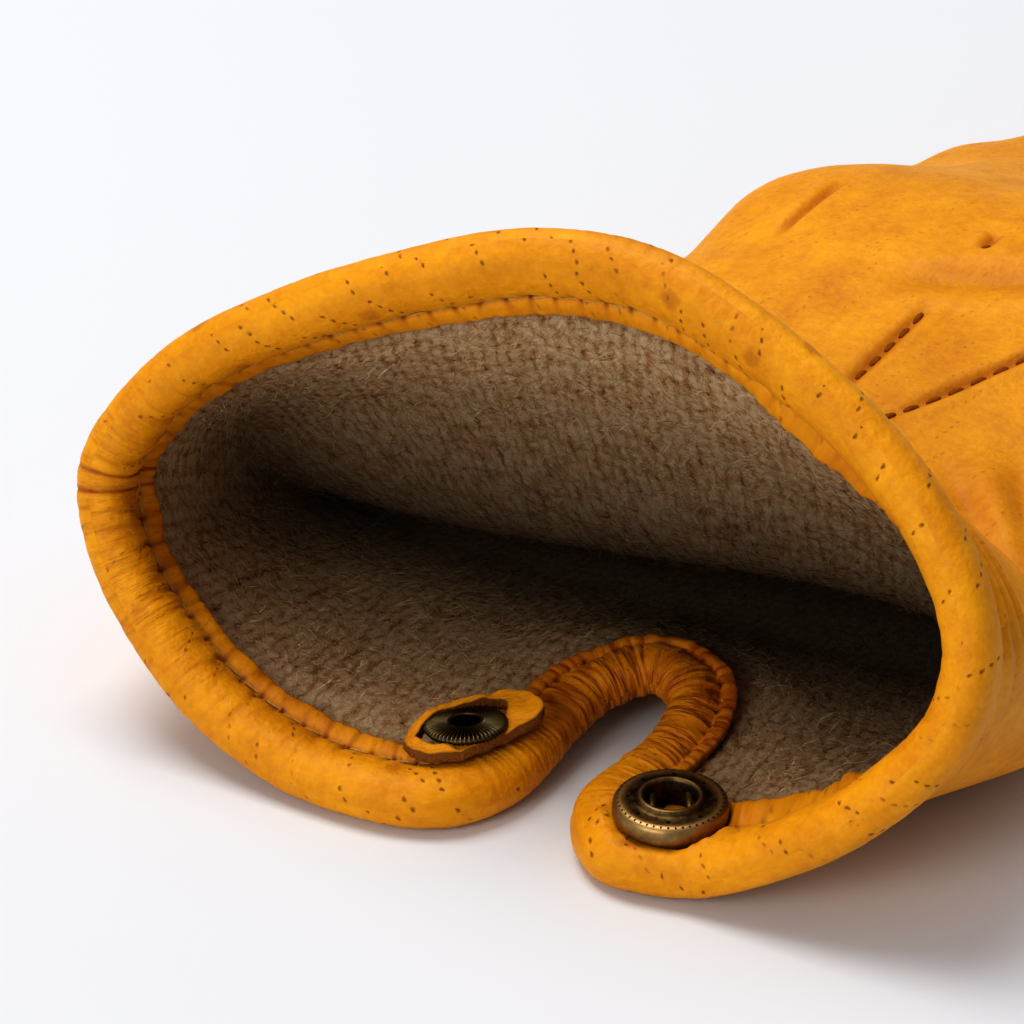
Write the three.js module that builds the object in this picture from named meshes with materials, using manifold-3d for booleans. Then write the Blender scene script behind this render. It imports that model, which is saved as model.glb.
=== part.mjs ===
import * as THREE from 'three';
import Module from 'manifold-3d';

// A left-hand dress glove of peccary leather, lying palm down with its mouth held open.
// Millimetres, +Z up, fingers toward +Y, thumb toward +X. The middle surface of the wall is
// lofted first, and every skin of the glove is that surface moved in or out.

// Walls, measured out from the middle surface
const LEATHER_OUT = 1.2;
const LEATHER_IN = -0.2;
const LINING_OUT = -0.5;
const LINING_IN = -2.1;
const GAP = 0.3;
const LEATHER = LEATHER_OUT - LEATHER_IN;

// Hem roll and its turned-in strip
const ROLL_HALF = 3;
const STRIP_REACH = 5.2;
const HEM_STEP = { shortest: 2.1, longest: 6, ofRadius: 0.24 };
const GATHER = 0.05;
const TIGHTEST = 0.75;

// Snap
const SOCKET_AT = { x: 18.5, y: -3.3, z: 5.2 };
const SOCKET_RADIUS = 5.5;
const SOCKET_HOLE = 2.5;
const SOCKET_HEIGHT = 2.8;
const EYELET_AT = { x: -4.2, y: -0.6, z: 6.9 };
const EYELET_RADIUS = 3.9;
const EYELET_HOLE = 1.5;
const PATCH_TURN = 36;
const PATCH_RISE = 4;
const PATCH_THICK = 0.9;
const CAP_RADIUS = 5.6;
const CAP_HEIGHT = 1.3;
const STUD_HEAD = 2;
const STUD_FLANGE = 3.6;
const STUD_TOP = 2.1;
const POST_RADIUS = 1.1;

// Faceting
const AROUND_HAND = 28;
const AROUND_FINGER = 16;
const AROUND_SNAP = 20;
const SLIVER = 0.06;

// Middle line of the hem roll, from the right flap over the back to the left flap
const MOUTH = [
  { x: 15, y: -7.3, z: 2.4 },
  { x: 23, y: -6.8, z: 3 },
  { x: 30, y: -6.2, z: 6.5 },
  { x: 36, y: -5.3, z: 10.6 },
  { x: 41.5, y: -3.5, z: 16 },
  { x: 45.5, y: -1.2, z: 22 },
  { x: 46.2, y: 0.9, z: 28.3 },
  { x: 44.2, y: 2.8, z: 33.6 },
  { x: 39, y: 5, z: 39.8 },
  { x: 31, y: 7, z: 45.5 },
  { x: 20, y: 8.8, z: 50.7 },
  { x: 9, y: 9.8, z: 53.7 },
  { x: -2, y: 9.6, z: 53 },
  { x: -14, y: 8.1, z: 49 },
  { x: -26, y: 6.2, z: 43.3 },
  { x: -36, y: 4, z: 37 },
  { x: -42, y: 1.5, z: 30.3 },
  { x: -44.4, y: -0.5, z: 24.4 },
  { x: -42.6, y: -2.6, z: 18.3 },
  { x: -37.2, y: -4.9, z: 11.8 },
  { x: -29, y: -7, z: 6 },
  { x: -19, y: -8.5, z: 2.8 },
  { x: -9, y: -8.6, z: 2.4 },
];

// The same line round the vent: left edge, end, right edge
const VENT = [
  { x: -3.6, y: -6.4, z: 2.4 },
  { x: -0.9, y: -1.6, z: 2.5 },
  { x: 0, y: 3.5, z: 2.9 },
  { x: 0.4, y: 9.5, z: 3.6 },
  { x: 1.8, y: 14.8, z: 4.5 },
  { x: 6.5, y: 18.9, z: 5.6 },
  { x: 11.3, y: 16.2, z: 5 },
  { x: 12.5, y: 10.5, z: 3.9 },
  { x: 11.6, y: 4, z: 2.9 },
  { x: 11, y: -2, z: 2.4 },
];

// Where the four quarters of the mouth begin
const MOUTH_CORNERS = [
  { x: 2.5, y: -8, z: 2.4 },
  { x: 46.2, y: 0.5, z: 27 },
  { x: 5, y: 9.9, z: 53.9 },
  { x: -44.4, y: -0.5, z: 24.4 },
];

// Sections of the hand behind the mouth: centre, clockwise turn, half width, the heights of its
// side, top and floor, and how far the thumb half of the back stands over its middle
const HAND = [
  { x: 2, y: 20, turn: 0, half: 46.2, side: 14.5, top: 32.5, floor: 1, lean: 1 },
  { x: 3, y: 32, turn: 1, half: 44.5, side: 8.5, top: 12.5, floor: 1, lean: 3.5 },
  { x: 7.5, y: 50, turn: 5, half: 41, side: 8.5, top: 15.5, floor: 1, lean: 1 },
  { x: 12, y: 74, turn: 11, half: 38.5, side: 10, top: 18.5, floor: 1, lean: 0 },
  { x: 16.5, y: 97, turn: 14, half: 38.5, side: 10.5, top: 21, floor: 1, lean: 0 },
  { x: 24, y: 118.5, turn: 19, half: 38.6, side: 8.5, top: 14.6, floor: 1, lean: 0 },
  { x: 32.5, y: 141.5, turn: 23, half: 37.4, side: 6.5, top: 11.8, floor: 1, lean: 0 },
];
const HAND_STEPS = 2;
const LEAN_SHAPE = 1.8;
const ROUND_TOP = 2.25;
const ROUND_BASE = 2.8;

// The palm is lifted round the end of the vent
const LIFT = { x: 6.5, y: 19, height: 4.6, wide: 13, ahead: 13, behind: 8 };

// Fingers: place along the knuckle line, setback of the root, turn, half width, length and height
const FINGERS = [
  { name: 'little', along: -29.2, back: 8, turn: 18, half: 9.1, length: 66, top: 13.6 },
  { name: 'ring', along: -9.8, back: 0, turn: 22.5, half: 9.7, length: 76, top: 14.3 },
  { name: 'middle', along: 10, back: 0, turn: 25.5, half: 9.8, length: 83, top: 14.5 },
  { name: 'index', along: 29.4, back: 1.5, turn: 29.5, half: 9.6, length: 73, top: 14 },
];
const FINGER_TAPER = 0.86;
const FINGER_ROOT = 12;
const TIP_ROUNDING = 1.15;
const TIP_ANGLES = [34, 62, 85];
const SIDE_SHARE = 0.48;
const FOURCHETTE = { low: 3.4, high: 9.8, half: 4.6, short: 12, behind: 4 };

const THUMB = [
  { x: 37, y: 60, turn: 34, half: 17, top: 15 },
  { x: 51, y: 79, turn: 37, half: 15, top: 18.5 },
  { x: 65, y: 97, turn: 38, half: 12.6, top: 17.5 },
  { x: 77, y: 113, turn: 36, half: 11.4, top: 15.5 },
  { x: 86, y: 126.5, turn: 33, half: 10, top: 13.5 },
  { x: 90, y: 133, turn: 31, half: 7.6, top: 11.5 },
  { x: 92, y: 136.5, turn: 30, half: 3.6, top: 8.8 },
];

// The trank is parted along its sides into a back and a palm
const PARTING = { beside: 40, beyond: 110, below: 5 };

// Raised tucks on the back, from the wrist end to the knuckle end
const POINTS = [
  { from: { x: -11.3, y: 83 }, to: { x: -9.7, y: 99 } },
  { from: { x: 7.4, y: 61 }, to: { x: 10, y: 94 } },
  { from: { x: 13.2, y: 56.5 }, to: { x: 31.6, y: 87 } },
];
const POINT_RISE = 0.9;
const POINT_HALF = 1.2;

const wasm = await Module();
wasm.setup();

const rad = THREE.MathUtils.degToRad;
const vec = (row) => new THREE.Vector3(row.x, row.y, row.z ?? 0);

// A closed skin over rings of points. Open rows get a fan at each end, and closed rows meet.
function skin(rings, closed = false) {
  const count = rings[0].length;
  const points = rings.flat();
  const faces = [];
  const rows = closed ? rings.length : rings.length - 1;
  for (let i = 0; i < rows; i++) {
    const next = (i + 1) % rings.length;
    for (let j = 0; j < count; j++) {
      const k = (j + 1) % count;
      const corners = [i * count + j, i * count + k, next * count + k, next * count + j];
      faces.push([corners[0], corners[1], corners[2]], [corners[0], corners[2], corners[3]]);
    }
  }
  if (!closed) {
    for (const [row, turned] of [[0, true], [rings.length - 1, false]]) {
      const middle = new THREE.Vector3();
      rings[row].forEach((point) => middle.addScaledVector(point, 1 / count));
      const hub = points.push(middle) - 1;
      for (let j = 0; j < count; j++) {
        const a = row * count + j;
        const b = row * count + ((j + 1) % count);
        faces.push(turned ? [hub, b, a] : [hub, a, b]);
      }
    }
  }
  let volume = 0;
  for (const [a, b, c] of faces) {
    volume += points[a].dot(new THREE.Vector3().crossVectors(points[b], points[c]));
  }
  const outward = volume > 0 ? faces : faces.map(([a, b, c]) => [a, c, b]);
  const geometry = new THREE.BufferGeometry();
  geometry.setFromPoints(points);
  geometry.setIndex(outward.flat());
  return geometry;
}

function solid(geometry) {
  const position = geometry.getAttribute('position');
  const mesh = new wasm.Mesh({
    numProp: 3,
    vertProperties: new Float32Array(position.array),
    triVerts: new Uint32Array(geometry.index.array),
  });
  mesh.merge();
  return new wasm.Manifold(mesh);
}

// Turned parts are drawn as a profile of radius and height about their own axis
function turned(profile, sides, at) {
  const rings = [];
  for (const [radius, height] of profile) {
    const ring = [];
    for (let j = 0; j < sides; j++) {
      const angle = (j / sides) * Math.PI * 2;
      const from = new THREE.Vector3(radius * Math.cos(angle), radius * Math.sin(angle), height);
      ring.push(from.add(vec(at)));
    }
    rings.push(ring);
  }
  return rings;
}

// Splits a dense line into equal steps, leaving its last point to the next line
function evenly(line, steps) {
  const travelled = [0];
  for (let i = 1; i < line.length; i++) {
    travelled.push(travelled[i - 1] + line[i].distanceTo(line[i - 1]));
  }
  const total = travelled[travelled.length - 1];
  const out = [];
  let i = 0;
  for (let step = 0; step < steps; step++) {
    const goal = (total * step) / steps;
    while (travelled[i + 1] < goal) i++;
    const share = (goal - travelled[i]) / (travelled[i + 1] - travelled[i]);
    out.push(line[i].clone().lerp(line[i + 1], share));
  }
  return out;
}

function mouthRing(count) {
  const curve = new THREE.CatmullRomCurve3(MOUTH.map(vec), true, 'centripetal');
  const dense = curve.getPoints(900).slice(0, -1);
  const nearest = MOUTH_CORNERS.map((corner) => {
    const away = dense.map((point) => point.distanceTo(vec(corner)));
    return away.indexOf(Math.min(...away));
  });
  const ring = [];
  nearest.forEach((start, quarter) => {
    const end = nearest[(quarter + 1) % 4];
    const line = [];
    for (let i = start; i !== end; i = (i + 1) % dense.length) line.push(dense[i]);
    line.push(dense[end]);
    ring.push(...evenly(line, count / 4));
  });
  return ring;
}

// One section of a soft tube: a rounded outline, flatter below than above
function sectionRing(row, count) {
  const dense = [[], [], [], []];
  const fine = 40;
  for (let quarter = 0; quarter < 4; quarter++) {
    for (let i = 0; i <= fine; i++) {
      const angle = (quarter - 1 + i / fine) * (Math.PI / 2);
      const c = Math.cos(angle);
      const s = Math.sin(angle);
      const round = s > 0 ? ROUND_TOP : ROUND_BASE;
      const across = row.half * Math.sign(c) * Math.abs(c) ** (2 / round);
      const depth = s > 0 ? row.top - row.side : row.side - row.floor;
      const upright = Math.sign(s) * Math.abs(s) ** (2 / round);
      const offMiddle = across / row.half;
      const swelling = LEAN_SHAPE * offMiddle * (1 - offMiddle ** 2) * Math.min(1 + upright, 1);
      const leaning = (row.lean ?? 0) * swelling;
      const turn = rad(row.turn);
      dense[quarter].push(new THREE.Vector3(
        row.x + across * Math.cos(turn),
        row.y - across * Math.sin(turn),
        row.side + depth * upright + leaning,
      ));
    }
  }
  return dense.flatMap((line) => evenly(line, count / 4));
}

// The middle surface of the hand, mouth first, as rings of points
function handSurface() {
  const rows = [mouthRing(AROUND_HAND), ...HAND.map((row) => sectionRing(row, AROUND_HAND))];
  const last = HAND[HAND.length - 1];
  const forward = new THREE.Vector3(Math.sin(rad(last.turn)), Math.cos(rad(last.turn)), 0);
  const across = new THREE.Vector3(Math.cos(rad(last.turn)), -Math.sin(rad(last.turn)), 0);
  for (const point of rows[rows.length - 1]) {
    const along = point.clone().sub(new THREE.Vector3(last.x, last.y, 0)).dot(across);
    const little = FINGERS[0].back * THREE.MathUtils.smoothstep(-along, 17, 22);
    point.addScaledVector(forward, -little);
  }
  const rings = [];
  const lines = rows[0].map((_, j) => {
    const along = rows.map((row) => row[j]);
    return new THREE.CatmullRomCurve3(along, false, 'centripetal');
  });
  const steps = (rows.length - 1) * HAND_STEPS;
  for (let i = 0; i <= steps; i++) rings.push(lines.map((line) => line.getPoint(i / steps)));
  for (const ring of rings.slice(1)) {
    for (const point of ring) {
      const long = point.y < LIFT.y ? LIFT.ahead : LIFT.behind;
      const near = ((point.x - LIFT.x) / LIFT.wide) ** 2 + ((point.y - LIFT.y) / long) ** 2;
      const low = 1 - THREE.MathUtils.smoothstep(point.z, 4, 14);
      point.z += LIFT.height * Math.exp(-near) * low;
    }
  }
  return rings;
}

const hand = handSurface();
const handNormals = hand.map((ring, i) => ring.map((_, j) => {
  const before = hand[Math.max(i - 1, 0)][j];
  const after = hand[Math.min(i + 1, hand.length - 1)][j];
  const left = ring[(j + AROUND_HAND - 1) % AROUND_HAND];
  const right = ring[(j + 1) % AROUND_HAND];
  const along = after.clone().sub(before);
  return along.cross(right.clone().sub(left)).normalize();
}));

// The hand's solid out to one level of the wall. Nothing goes below its own layer on the floor.
function handSolid(level, { ahead = 0, shortened = 0 } = {}) {
  const lowest = LEATHER_OUT - level;
  const rings = hand.map((ring, i) => ring.map((point, j) => {
    const moved = point.clone().addScaledVector(handNormals[i][j], level);
    moved.z = Math.max(moved.z, lowest);
    return moved;
  }));
  const end = rings[rings.length - 1];
  const turn = rad(HAND[HAND.length - 1].turn);
  const back = new THREE.Vector3(-Math.sin(turn), -Math.cos(turn), 0).multiplyScalar(shortened);
  for (const point of end) point.add(back);
  if (ahead > 0) {
    rings.unshift(hand[0].map((point, j) => {
      const outward = point.clone().sub(hand[1][j]).normalize();
      return rings[0][j].clone().addScaledVector(outward, ahead);
    }));
  }
  return solid(skin(rings));
}

// All that lies below the line along the hand's two sides. Past both ends the line runs level.
function belowSides(lift) {
  const rings = hand.map((ring) => {
    const left = ring[(AROUND_HAND * 3) / 4];
    const right = ring[AROUND_HAND / 4];
    const away = right.clone().sub(left).setZ(0).setLength(PARTING.beside);
    const top = [left.clone().sub(away), right.clone().add(away)];
    for (const point of top) point.z += lift;
    return [...top, top[1].clone().setZ(-PARTING.below), top[0].clone().setZ(-PARTING.below)];
  });
  const run = (end, next) => rings[end].map((point, j) => {
    const onward = point.clone().sub(rings[next][j]).setZ(0).setLength(PARTING.beyond);
    return point.clone().add(onward);
  });
  const last = rings.length - 1;
  return solid(skin([run(0, 1), ...rings, run(last, last - 1)]));
}

// A finger's rows out to its inset: root inside the hand, straight shaft, round tip
function fingerSolid(finger, inset) {
  const last = HAND[HAND.length - 1];
  const turn = rad(last.turn);
  const root = new THREE.Vector3(
    last.x + finger.along * Math.cos(turn) - finger.back * Math.sin(turn),
    last.y - finger.along * Math.sin(turn) - finger.back * Math.cos(turn),
    0,
  );
  const heading = rad(finger.turn);
  const forward = new THREE.Vector3(Math.sin(heading), Math.cos(heading), 0);
  const length = finger.length - inset;
  const tip = finger.half * TIP_ROUNDING;
  const row = (distance, size) => {
    const taper = THREE.MathUtils.lerp(1, FINGER_TAPER, Math.max(distance, 0) / length);
    const place = root.clone().addScaledVector(forward, distance);
    const top = (finger.top * taper - inset - 5) * size + 5;
    return {
      x: place.x,
      y: place.y,
      turn: finger.turn,
      half: Math.max((finger.half * taper - inset) * size, 0.4),
      side: SIDE_SHARE * top + inset * 0.5,
      top,
      floor: inset + (1 - size) * 2.4,
    };
  };
  const rows = [row(-FINGER_ROOT, 1), row(0, 1), row((length - tip) * 0.5, 1), row(length - tip, 1)];
  for (const angle of TIP_ANGLES) {
    rows.push(row(length - tip + tip * Math.sin(rad(angle)), Math.cos(rad(angle))));
  }
  return solid(skin(rows.map((item) => sectionRing(item, AROUND_FINGER))));
}

function thumbSolid(inset) {
  const rows = THUMB.map((row, i) => {
    const tipward = i === THUMB.length - 1 ? inset * 0.8 : 0;
    return {
      ...row,
      x: row.x - Math.sin(rad(row.turn)) * tipward,
      y: row.y - Math.cos(rad(row.turn)) * tipward,
      half: row.half - inset,
      top: row.top - inset,
      side: row.top * SIDE_SHARE,
      floor: inset,
    };
  });
  return solid(skin(rows.map((row) => sectionRing(row, AROUND_FINGER))));
}

// The hem: stations along its line, closer where it bends, each with the way in over the wall
// and the way out of it
function hemStations() {
  const line = new THREE.CatmullRomCurve3([...MOUTH, ...VENT].map(vec), true, 'centripetal');
  const dense = line.getSpacedPoints(1200).slice(0, -1);
  const spacing = line.getLength() / dense.length;
  const reach = Math.round(3 / spacing);
  const points = [];
  let travelled = Infinity;
  dense.forEach((point, i) => {
    const before = dense[(i + dense.length - reach) % dense.length];
    const after = dense[(i + reach) % dense.length];
    const sag = before.clone().add(after).multiplyScalar(0.5).distanceTo(point);
    const radius = 4.5 / Math.max(sag, 0.01);
    const { shortest, longest, ofRadius } = HEM_STEP;
    const step = THREE.MathUtils.clamp(radius * ofRadius, shortest, longest);
    travelled += spacing;
    if (travelled >= step && i < dense.length - shortest / spacing) {
      points.push(point);
      travelled = 0;
    }
  });
  const count = points.length;
  const normals = points.map((point) => {
    let best = 0;
    hand[0].forEach((rim, j) => {
      if (rim.distanceTo(point) < hand[0][best].distanceTo(point)) best = j;
    });
    const onMouth = hand[0][best].distanceTo(point) < 3.5;
    return onMouth ? handNormals[0][best].clone() : new THREE.Vector3(0, 0, -1);
  });
  for (let pass = 0; pass < 4; pass++) {
    const smooth = normals.map((_, i) => normals[(i + count - 1) % count].clone()
      .add(normals[i]).add(normals[(i + 1) % count]).normalize());
    smooth.forEach((value, i) => normals[i].copy(value));
  }
  return points.map((point, i) => {
    const along = points[(i + 1) % count].clone().sub(points[(i + count - 1) % count]).normalize();
    const out = normals[i].addScaledVector(along, -normals[i].dot(along)).normalize();
    const inward = along.clone().cross(out);
    const ahead = points[(i + 1) % count].clone().sub(point);
    const behind = point.clone().sub(points[(i + count - 1) % count]);
    const bend = ahead.clone().normalize().sub(behind.clone().normalize());
    const curvature = bend.dot(inward) / ((ahead.length() + behind.length()) / 2);
    return { point, along, out, inward, curvature };
  });
}

const stations = hemStations();

// The leather is gathered round the vent's end and on the low part of the left side
function gathered(point) {
  if (point.y > 8 && point.z < 10) return 1;
  return THREE.MathUtils.smoothstep(-point.x, 20, 34) * THREE.MathUtils.smoothstep(26 - point.z, 0, 8);
}

// A band swept round the hem from a profile of [in over the wall, out of the wall]
function hemSweep(profile, { gather = 0, floor = -5, clear = 0 } = {}) {
  return solid(skin(stations.map(({ point, out, inward, curvature }, i) => {
    const reach = (curvature > 0 ? TIGHTEST / curvature : 99) + clear;
    const puff = 1 + gather * gathered(point) * (i % 2 ? -1 : 1);
    return profile.map(([over, rise]) => {
      const moved = point.clone().addScaledVector(inward, Math.min(over, reach));
      moved.addScaledVector(out, rise * puff);
      moved.z = Math.max(moved.z, floor);
      return moved;
    });
  }), true));
}

const HEM_PROFILE = [
  [-ROLL_HALF, 0], [-2.6, 1.4], [-1.4, 2.2], [0.4, 2.3], [2, 1.7], [2.9, 0.4],
  [3, -0.5], [STRIP_REACH, -0.6], [STRIP_REACH, -2.1], [3.1, -2.1],
  [2.6, -1.8], [1.4, -2.5], [-0.8, -2.6], [-2.5, -1.6],
];
const HEM_ROOM = [
  [-6, -3.4], [-6, 3], [ROLL_HALF + GAP, 3], [ROLL_HALF + GAP, LEATHER_IN - 0.02],
  [STRIP_REACH + GAP, LEATHER_IN - 0.02], [STRIP_REACH + GAP, -3.4],
];
const LINING_ROOM = [[-6, -5], [-6, 2.8], [STRIP_REACH + GAP, 2.8], [STRIP_REACH + GAP, -5]];

// A straight prism over any simple outline, given at its low and its high level
function extruded(low, high) {
  const clockwise = THREE.ShapeUtils.isClockWise(low);
  const base = clockwise ? [...low].reverse() : low;
  const top = clockwise ? [...high].reverse() : high;
  const count = base.length;
  const flat = base.map((point) => new THREE.Vector2(point.x, point.y));
  const caps = THREE.ShapeUtils.triangulateShape(flat, []);
  const faces = caps.flatMap(([a, b, c]) => [[c, b, a], [a + count, b + count, c + count]]);
  for (let j = 0; j < count; j++) {
    const k = (j + 1) % count;
    faces.push([j, k, k + count], [j, k + count, j + count]);
  }
  const geometry = new THREE.BufferGeometry().setFromPoints([...base, ...top]);
  geometry.setIndex(faces.flat());
  return geometry;
}

// The opening of the vent, cut down through the palm only
function ventCut() {
  const outline = [...VENT, { x: 12, y: -8 }, { x: 12, y: -20 }, { x: -4, y: -20 }, { x: -4, y: -8 }];
  const ring = (z) => outline.map((point) => new THREE.Vector3(point.x, point.y, z));
  return solid(extruded(ring(-4), ring(15)));
}

// A finger gap's strip in plan, from behind the crotch to short of the fingertips
function gapPrism(left, right, grow) {
  const last = HAND[HAND.length - 1];
  const turn = rad(last.turn);
  const along = (left.along + right.along) / 2;
  const back = (left.back + right.back) / 2;
  const heading = rad((left.turn + right.turn) / 2);
  const start = new THREE.Vector3(
    last.x + along * Math.cos(turn) - back * Math.sin(turn),
    last.y - along * Math.sin(turn) - back * Math.cos(turn),
    0,
  );
  const forward = new THREE.Vector3(Math.sin(heading), Math.cos(heading), 0);
  const across = new THREE.Vector3(Math.cos(heading), -Math.sin(heading), 0);
  const near = -FOURCHETTE.behind - grow;
  const far = Math.min(left.length - left.back, right.length - right.back) - FOURCHETTE.short + grow;
  const half = FOURCHETTE.half + grow;
  const outline = [[near, -half], [near, half], [far, half], [far + half, 0], [far, -half]];
  const ring = (z) => outline.map(([d, w]) => start.clone().addScaledVector(forward, d)
    .addScaledVector(across, w).setZ(z));
  return solid(extruded(ring(FOURCHETTE.low - grow), ring(FOURCHETTE.high + grow)));
}

// A narrow upright wall along one tuck, to be cut to the back's own curve
function tuckPrism({ from, to }) {
  const a = vec(from);
  const b = vec(to);
  const forward = b.clone().sub(a).normalize();
  const side = new THREE.Vector3(forward.y, -forward.x, 0);
  const outline = [[-2, 0], [0, POINT_HALF], [a.distanceTo(b), POINT_HALF], [a.distanceTo(b) + 2, 0],
    [a.distanceTo(b), -POINT_HALF], [0, -POINT_HALF]];
  const ring = (z) => outline.map(([d, w]) => a.clone().addScaledVector(forward, d)
    .addScaledVector(side, w).setZ(z));
  return solid(extruded(ring(10), ring(40)));
}

function disc(at, radius, low, high, sides = 28) {
  return solid(skin(turned([[radius, low], [radius, high]], sides, { x: at.x, y: at.y, z: 0 })));
}

const largest = (body) => body.decompose()
  .reduce((best, piece) => (piece.volume() > best.volume() ? piece : best)).simplify(SLIVER);
const joined = (bodies) => bodies.reduce((sum, body) => sum.add(body));

// Leather skins
const handIn = handSolid(LEATHER_IN, { ahead: 9, shortened: LEATHER });
const outside = joined([handSolid(LEATHER_OUT), ...FINGERS.map((finger) => fingerSolid(finger, 0))]);
const inside = joined([handIn, ...FINGERS.map((finger) => fingerSolid(finger, LEATHER))]);
const shell = outside.subtract(inside);
const thumbIn = thumbSolid(LEATHER);
const vent = ventCut();
const hemRoom = hemSweep(HEM_ROOM, { clear: GAP });

// Room for the snap through the layers of each flap
const capRoom = disc(SOCKET_AT, CAP_RADIUS + GAP, -1, CAP_HEIGHT + GAP)
  .add(disc(SOCKET_AT, POST_RADIUS + GAP, -1, 12, 16));
const socketRoom = disc(SOCKET_AT, SOCKET_RADIUS + GAP, SOCKET_AT.z - GAP, 14);
const studRoom = disc(EYELET_AT, STUD_FLANGE + GAP, -1, STUD_TOP + GAP)
  .add(disc(EYELET_AT, POST_RADIUS + GAP, -1, 7, 16));
const snapRoom = joined([capRoom, socketRoom, studRoom]);

const gaps = FINGERS.slice(1).map((right, i) => [FINGERS[i], right]);
const tucks = joined(POINTS.map(tuckPrism)).intersect(handSolid(LEATHER_OUT + POINT_RISE)).subtract(handIn);

const trank = joined([shell, tucks])
  .subtract(vent).subtract(hemRoom).subtract(thumbIn).subtract(snapRoom)
  .subtract(joined(gaps.map(([left, right]) => gapPrism(left, right, GAP))));
const trankPalm = largest(trank.intersect(belowSides(-GAP / 2)));
const trankBack = largest(trank.subtract(belowSides(GAP / 2)));

const thumb = largest(thumbSolid(0).subtract(thumbIn).subtract(handSolid(LEATHER_OUT + GAP)));

const SIX_WAYS = [[1, 0, 0], [-1, 0, 0], [0, 1, 0], [0, -1, 0], [0, 0, 1], [0, 0, -1]];
const spread = (body) => joined(SIX_WAYS.map((way) => body.translate(way.map((part) => part * GAP))));

const hem = largest(hemSweep(HEM_PROFILE, { gather: GATHER, floor: 0 }).subtract(snapRoom));

const lining = largest(handSolid(LINING_OUT, { shortened: 3.4 })
  .subtract(handSolid(LINING_IN, { ahead: 12, shortened: -3 }))
  .subtract(vent).subtract(hemSweep(LINING_ROOM, { clear: 1 })).subtract(spread(hem))
  .subtract(thumbIn).subtract(snapRoom));

// The eyelet's leather patch lies over the flap, its tab end riding up on the vent's roll
const onPatch = new THREE.Matrix4().compose(
  vec(EYELET_AT),
  new THREE.Quaternion().setFromEuler(new THREE.Euler(0, -rad(PATCH_RISE), rad(PATCH_TURN), 'ZYX')),
  new THREE.Vector3(1, 1, 1),
);
const placed = (geometry) => geometry.applyMatrix4(onPatch);

function patchSolid() {
  const outline = [];
  for (let i = 0; i <= 10; i++) {
    const angle = Math.PI * (0.5 + i / 10);
    outline.push([-1 + 5.4 * Math.cos(angle), 4.6 * Math.sin(angle)]);
  }
  outline.push([4.6, -3.6], [7.2, -3.1], [8.4, 1.6], [5.4, 3.4]);
  const ring = (z) => outline.map(([x, y]) => new THREE.Vector3(x, y, z));
  const hole = skin(turned([[POST_RADIUS + GAP, -3], [POST_RADIUS + GAP, 3]], 16, { x: 0, y: 0, z: 0 }));
  return solid(placed(extruded(ring(-PATCH_THICK), ring(0)))).subtract(solid(placed(hole)));
}

const ORIGIN = { x: 0, y: 0, z: 0 };
const eyelet = solid(placed(skin(turned([
  [EYELET_HOLE, GAP], [EYELET_RADIUS, GAP], [EYELET_RADIUS, 0.6], [3.3, 1.05], [2.2, 1.15],
  [EYELET_HOLE, 0.8],
], AROUND_SNAP, ORIGIN), true)));

const stud = solid(skin(turned([
  [STUD_HEAD, 0], [STUD_HEAD, 1.3], [STUD_FLANGE, 1.5], [STUD_FLANGE, STUD_TOP], [POST_RADIUS, STUD_TOP],
  [POST_RADIUS, 6],
], AROUND_SNAP, { ...EYELET_AT, z: 0 })));

const socket = solid(skin(turned([
  [SOCKET_HOLE, 0], [SOCKET_RADIUS - 0.6, 0], [SOCKET_RADIUS, 0.6], [SOCKET_RADIUS, 1.8],
  [SOCKET_RADIUS - 0.4, 2.3], [SOCKET_RADIUS - 1.2, 2.5], [SOCKET_HOLE + 0.9, 2.3],
  [SOCKET_HOLE + 0.4, SOCKET_HEIGHT], [SOCKET_HOLE, SOCKET_HEIGHT - 0.2],
], AROUND_SNAP + 4, SOCKET_AT), true));

const cap = solid(skin(turned([
  [CAP_RADIUS - 0.4, 0], [CAP_RADIUS, 0.4], [CAP_RADIUS, CAP_HEIGHT], [POST_RADIUS, CAP_HEIGHT],
  [POST_RADIUS, SOCKET_AT.z + 0.6],
], AROUND_SNAP + 4, { ...SOCKET_AT, z: 0 })));

const LEATHER_LOOK = { color: 0xe8941c, roughness: 0.6, metalness: 0 };
const KNIT_LOOK = { color: 0x8a7460, roughness: 1, metalness: 0 };
const BRASS_LOOK = { color: 0x7a6238, roughness: 0.4, metalness: 1 };
const BRONZE_LOOK = { color: 0x40362a, roughness: 0.45, metalness: 1 };

const group = new THREE.Group();

function node(name, body, look) {
  const made = body.getMesh();
  const geometry = new THREE.BufferGeometry();
  geometry.setAttribute('position', new THREE.Float32BufferAttribute(made.vertProperties, 3));
  geometry.setIndex(new THREE.Uint32BufferAttribute(made.triVerts, 1));
  geometry.computeVertexNormals();
  const mesh = new THREE.Mesh(geometry, new THREE.MeshStandardMaterial(look));
  mesh.name = name;
  group.add(mesh);
}

node('trank_back', trankBack, LEATHER_LOOK);
node('trank_palm', trankPalm, LEATHER_LOOK);
node('thumb', thumb, LEATHER_LOOK);
gaps.forEach(([left, right]) => {
  const strip = largest(shell.intersect(gapPrism(left, right, 0)));
  node(`fourchette_${left.name}_${right.name}`, strip, LEATHER_LOOK);
});
node('cuff_hem', hem, LEATHER_LOOK);
node('lining', lining, KNIT_LOOK);
node('snap_patch', patchSolid(), LEATHER_LOOK);
node('snap_eyelet', eyelet, BRONZE_LOOK);
node('snap_stud', stud, BRONZE_LOOK);
node('snap_socket', socket, BRASS_LOOK);
node('snap_cap', cap, BRASS_LOOK);

// The origin is under the middle of the glove, on the surface that it lies on
const box = new THREE.Box3().setFromObject(group);
group.position.set(-(box.min.x + box.max.x) / 2, -(box.min.y + box.max.y) / 2, -box.min.z);

export default group;
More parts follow.
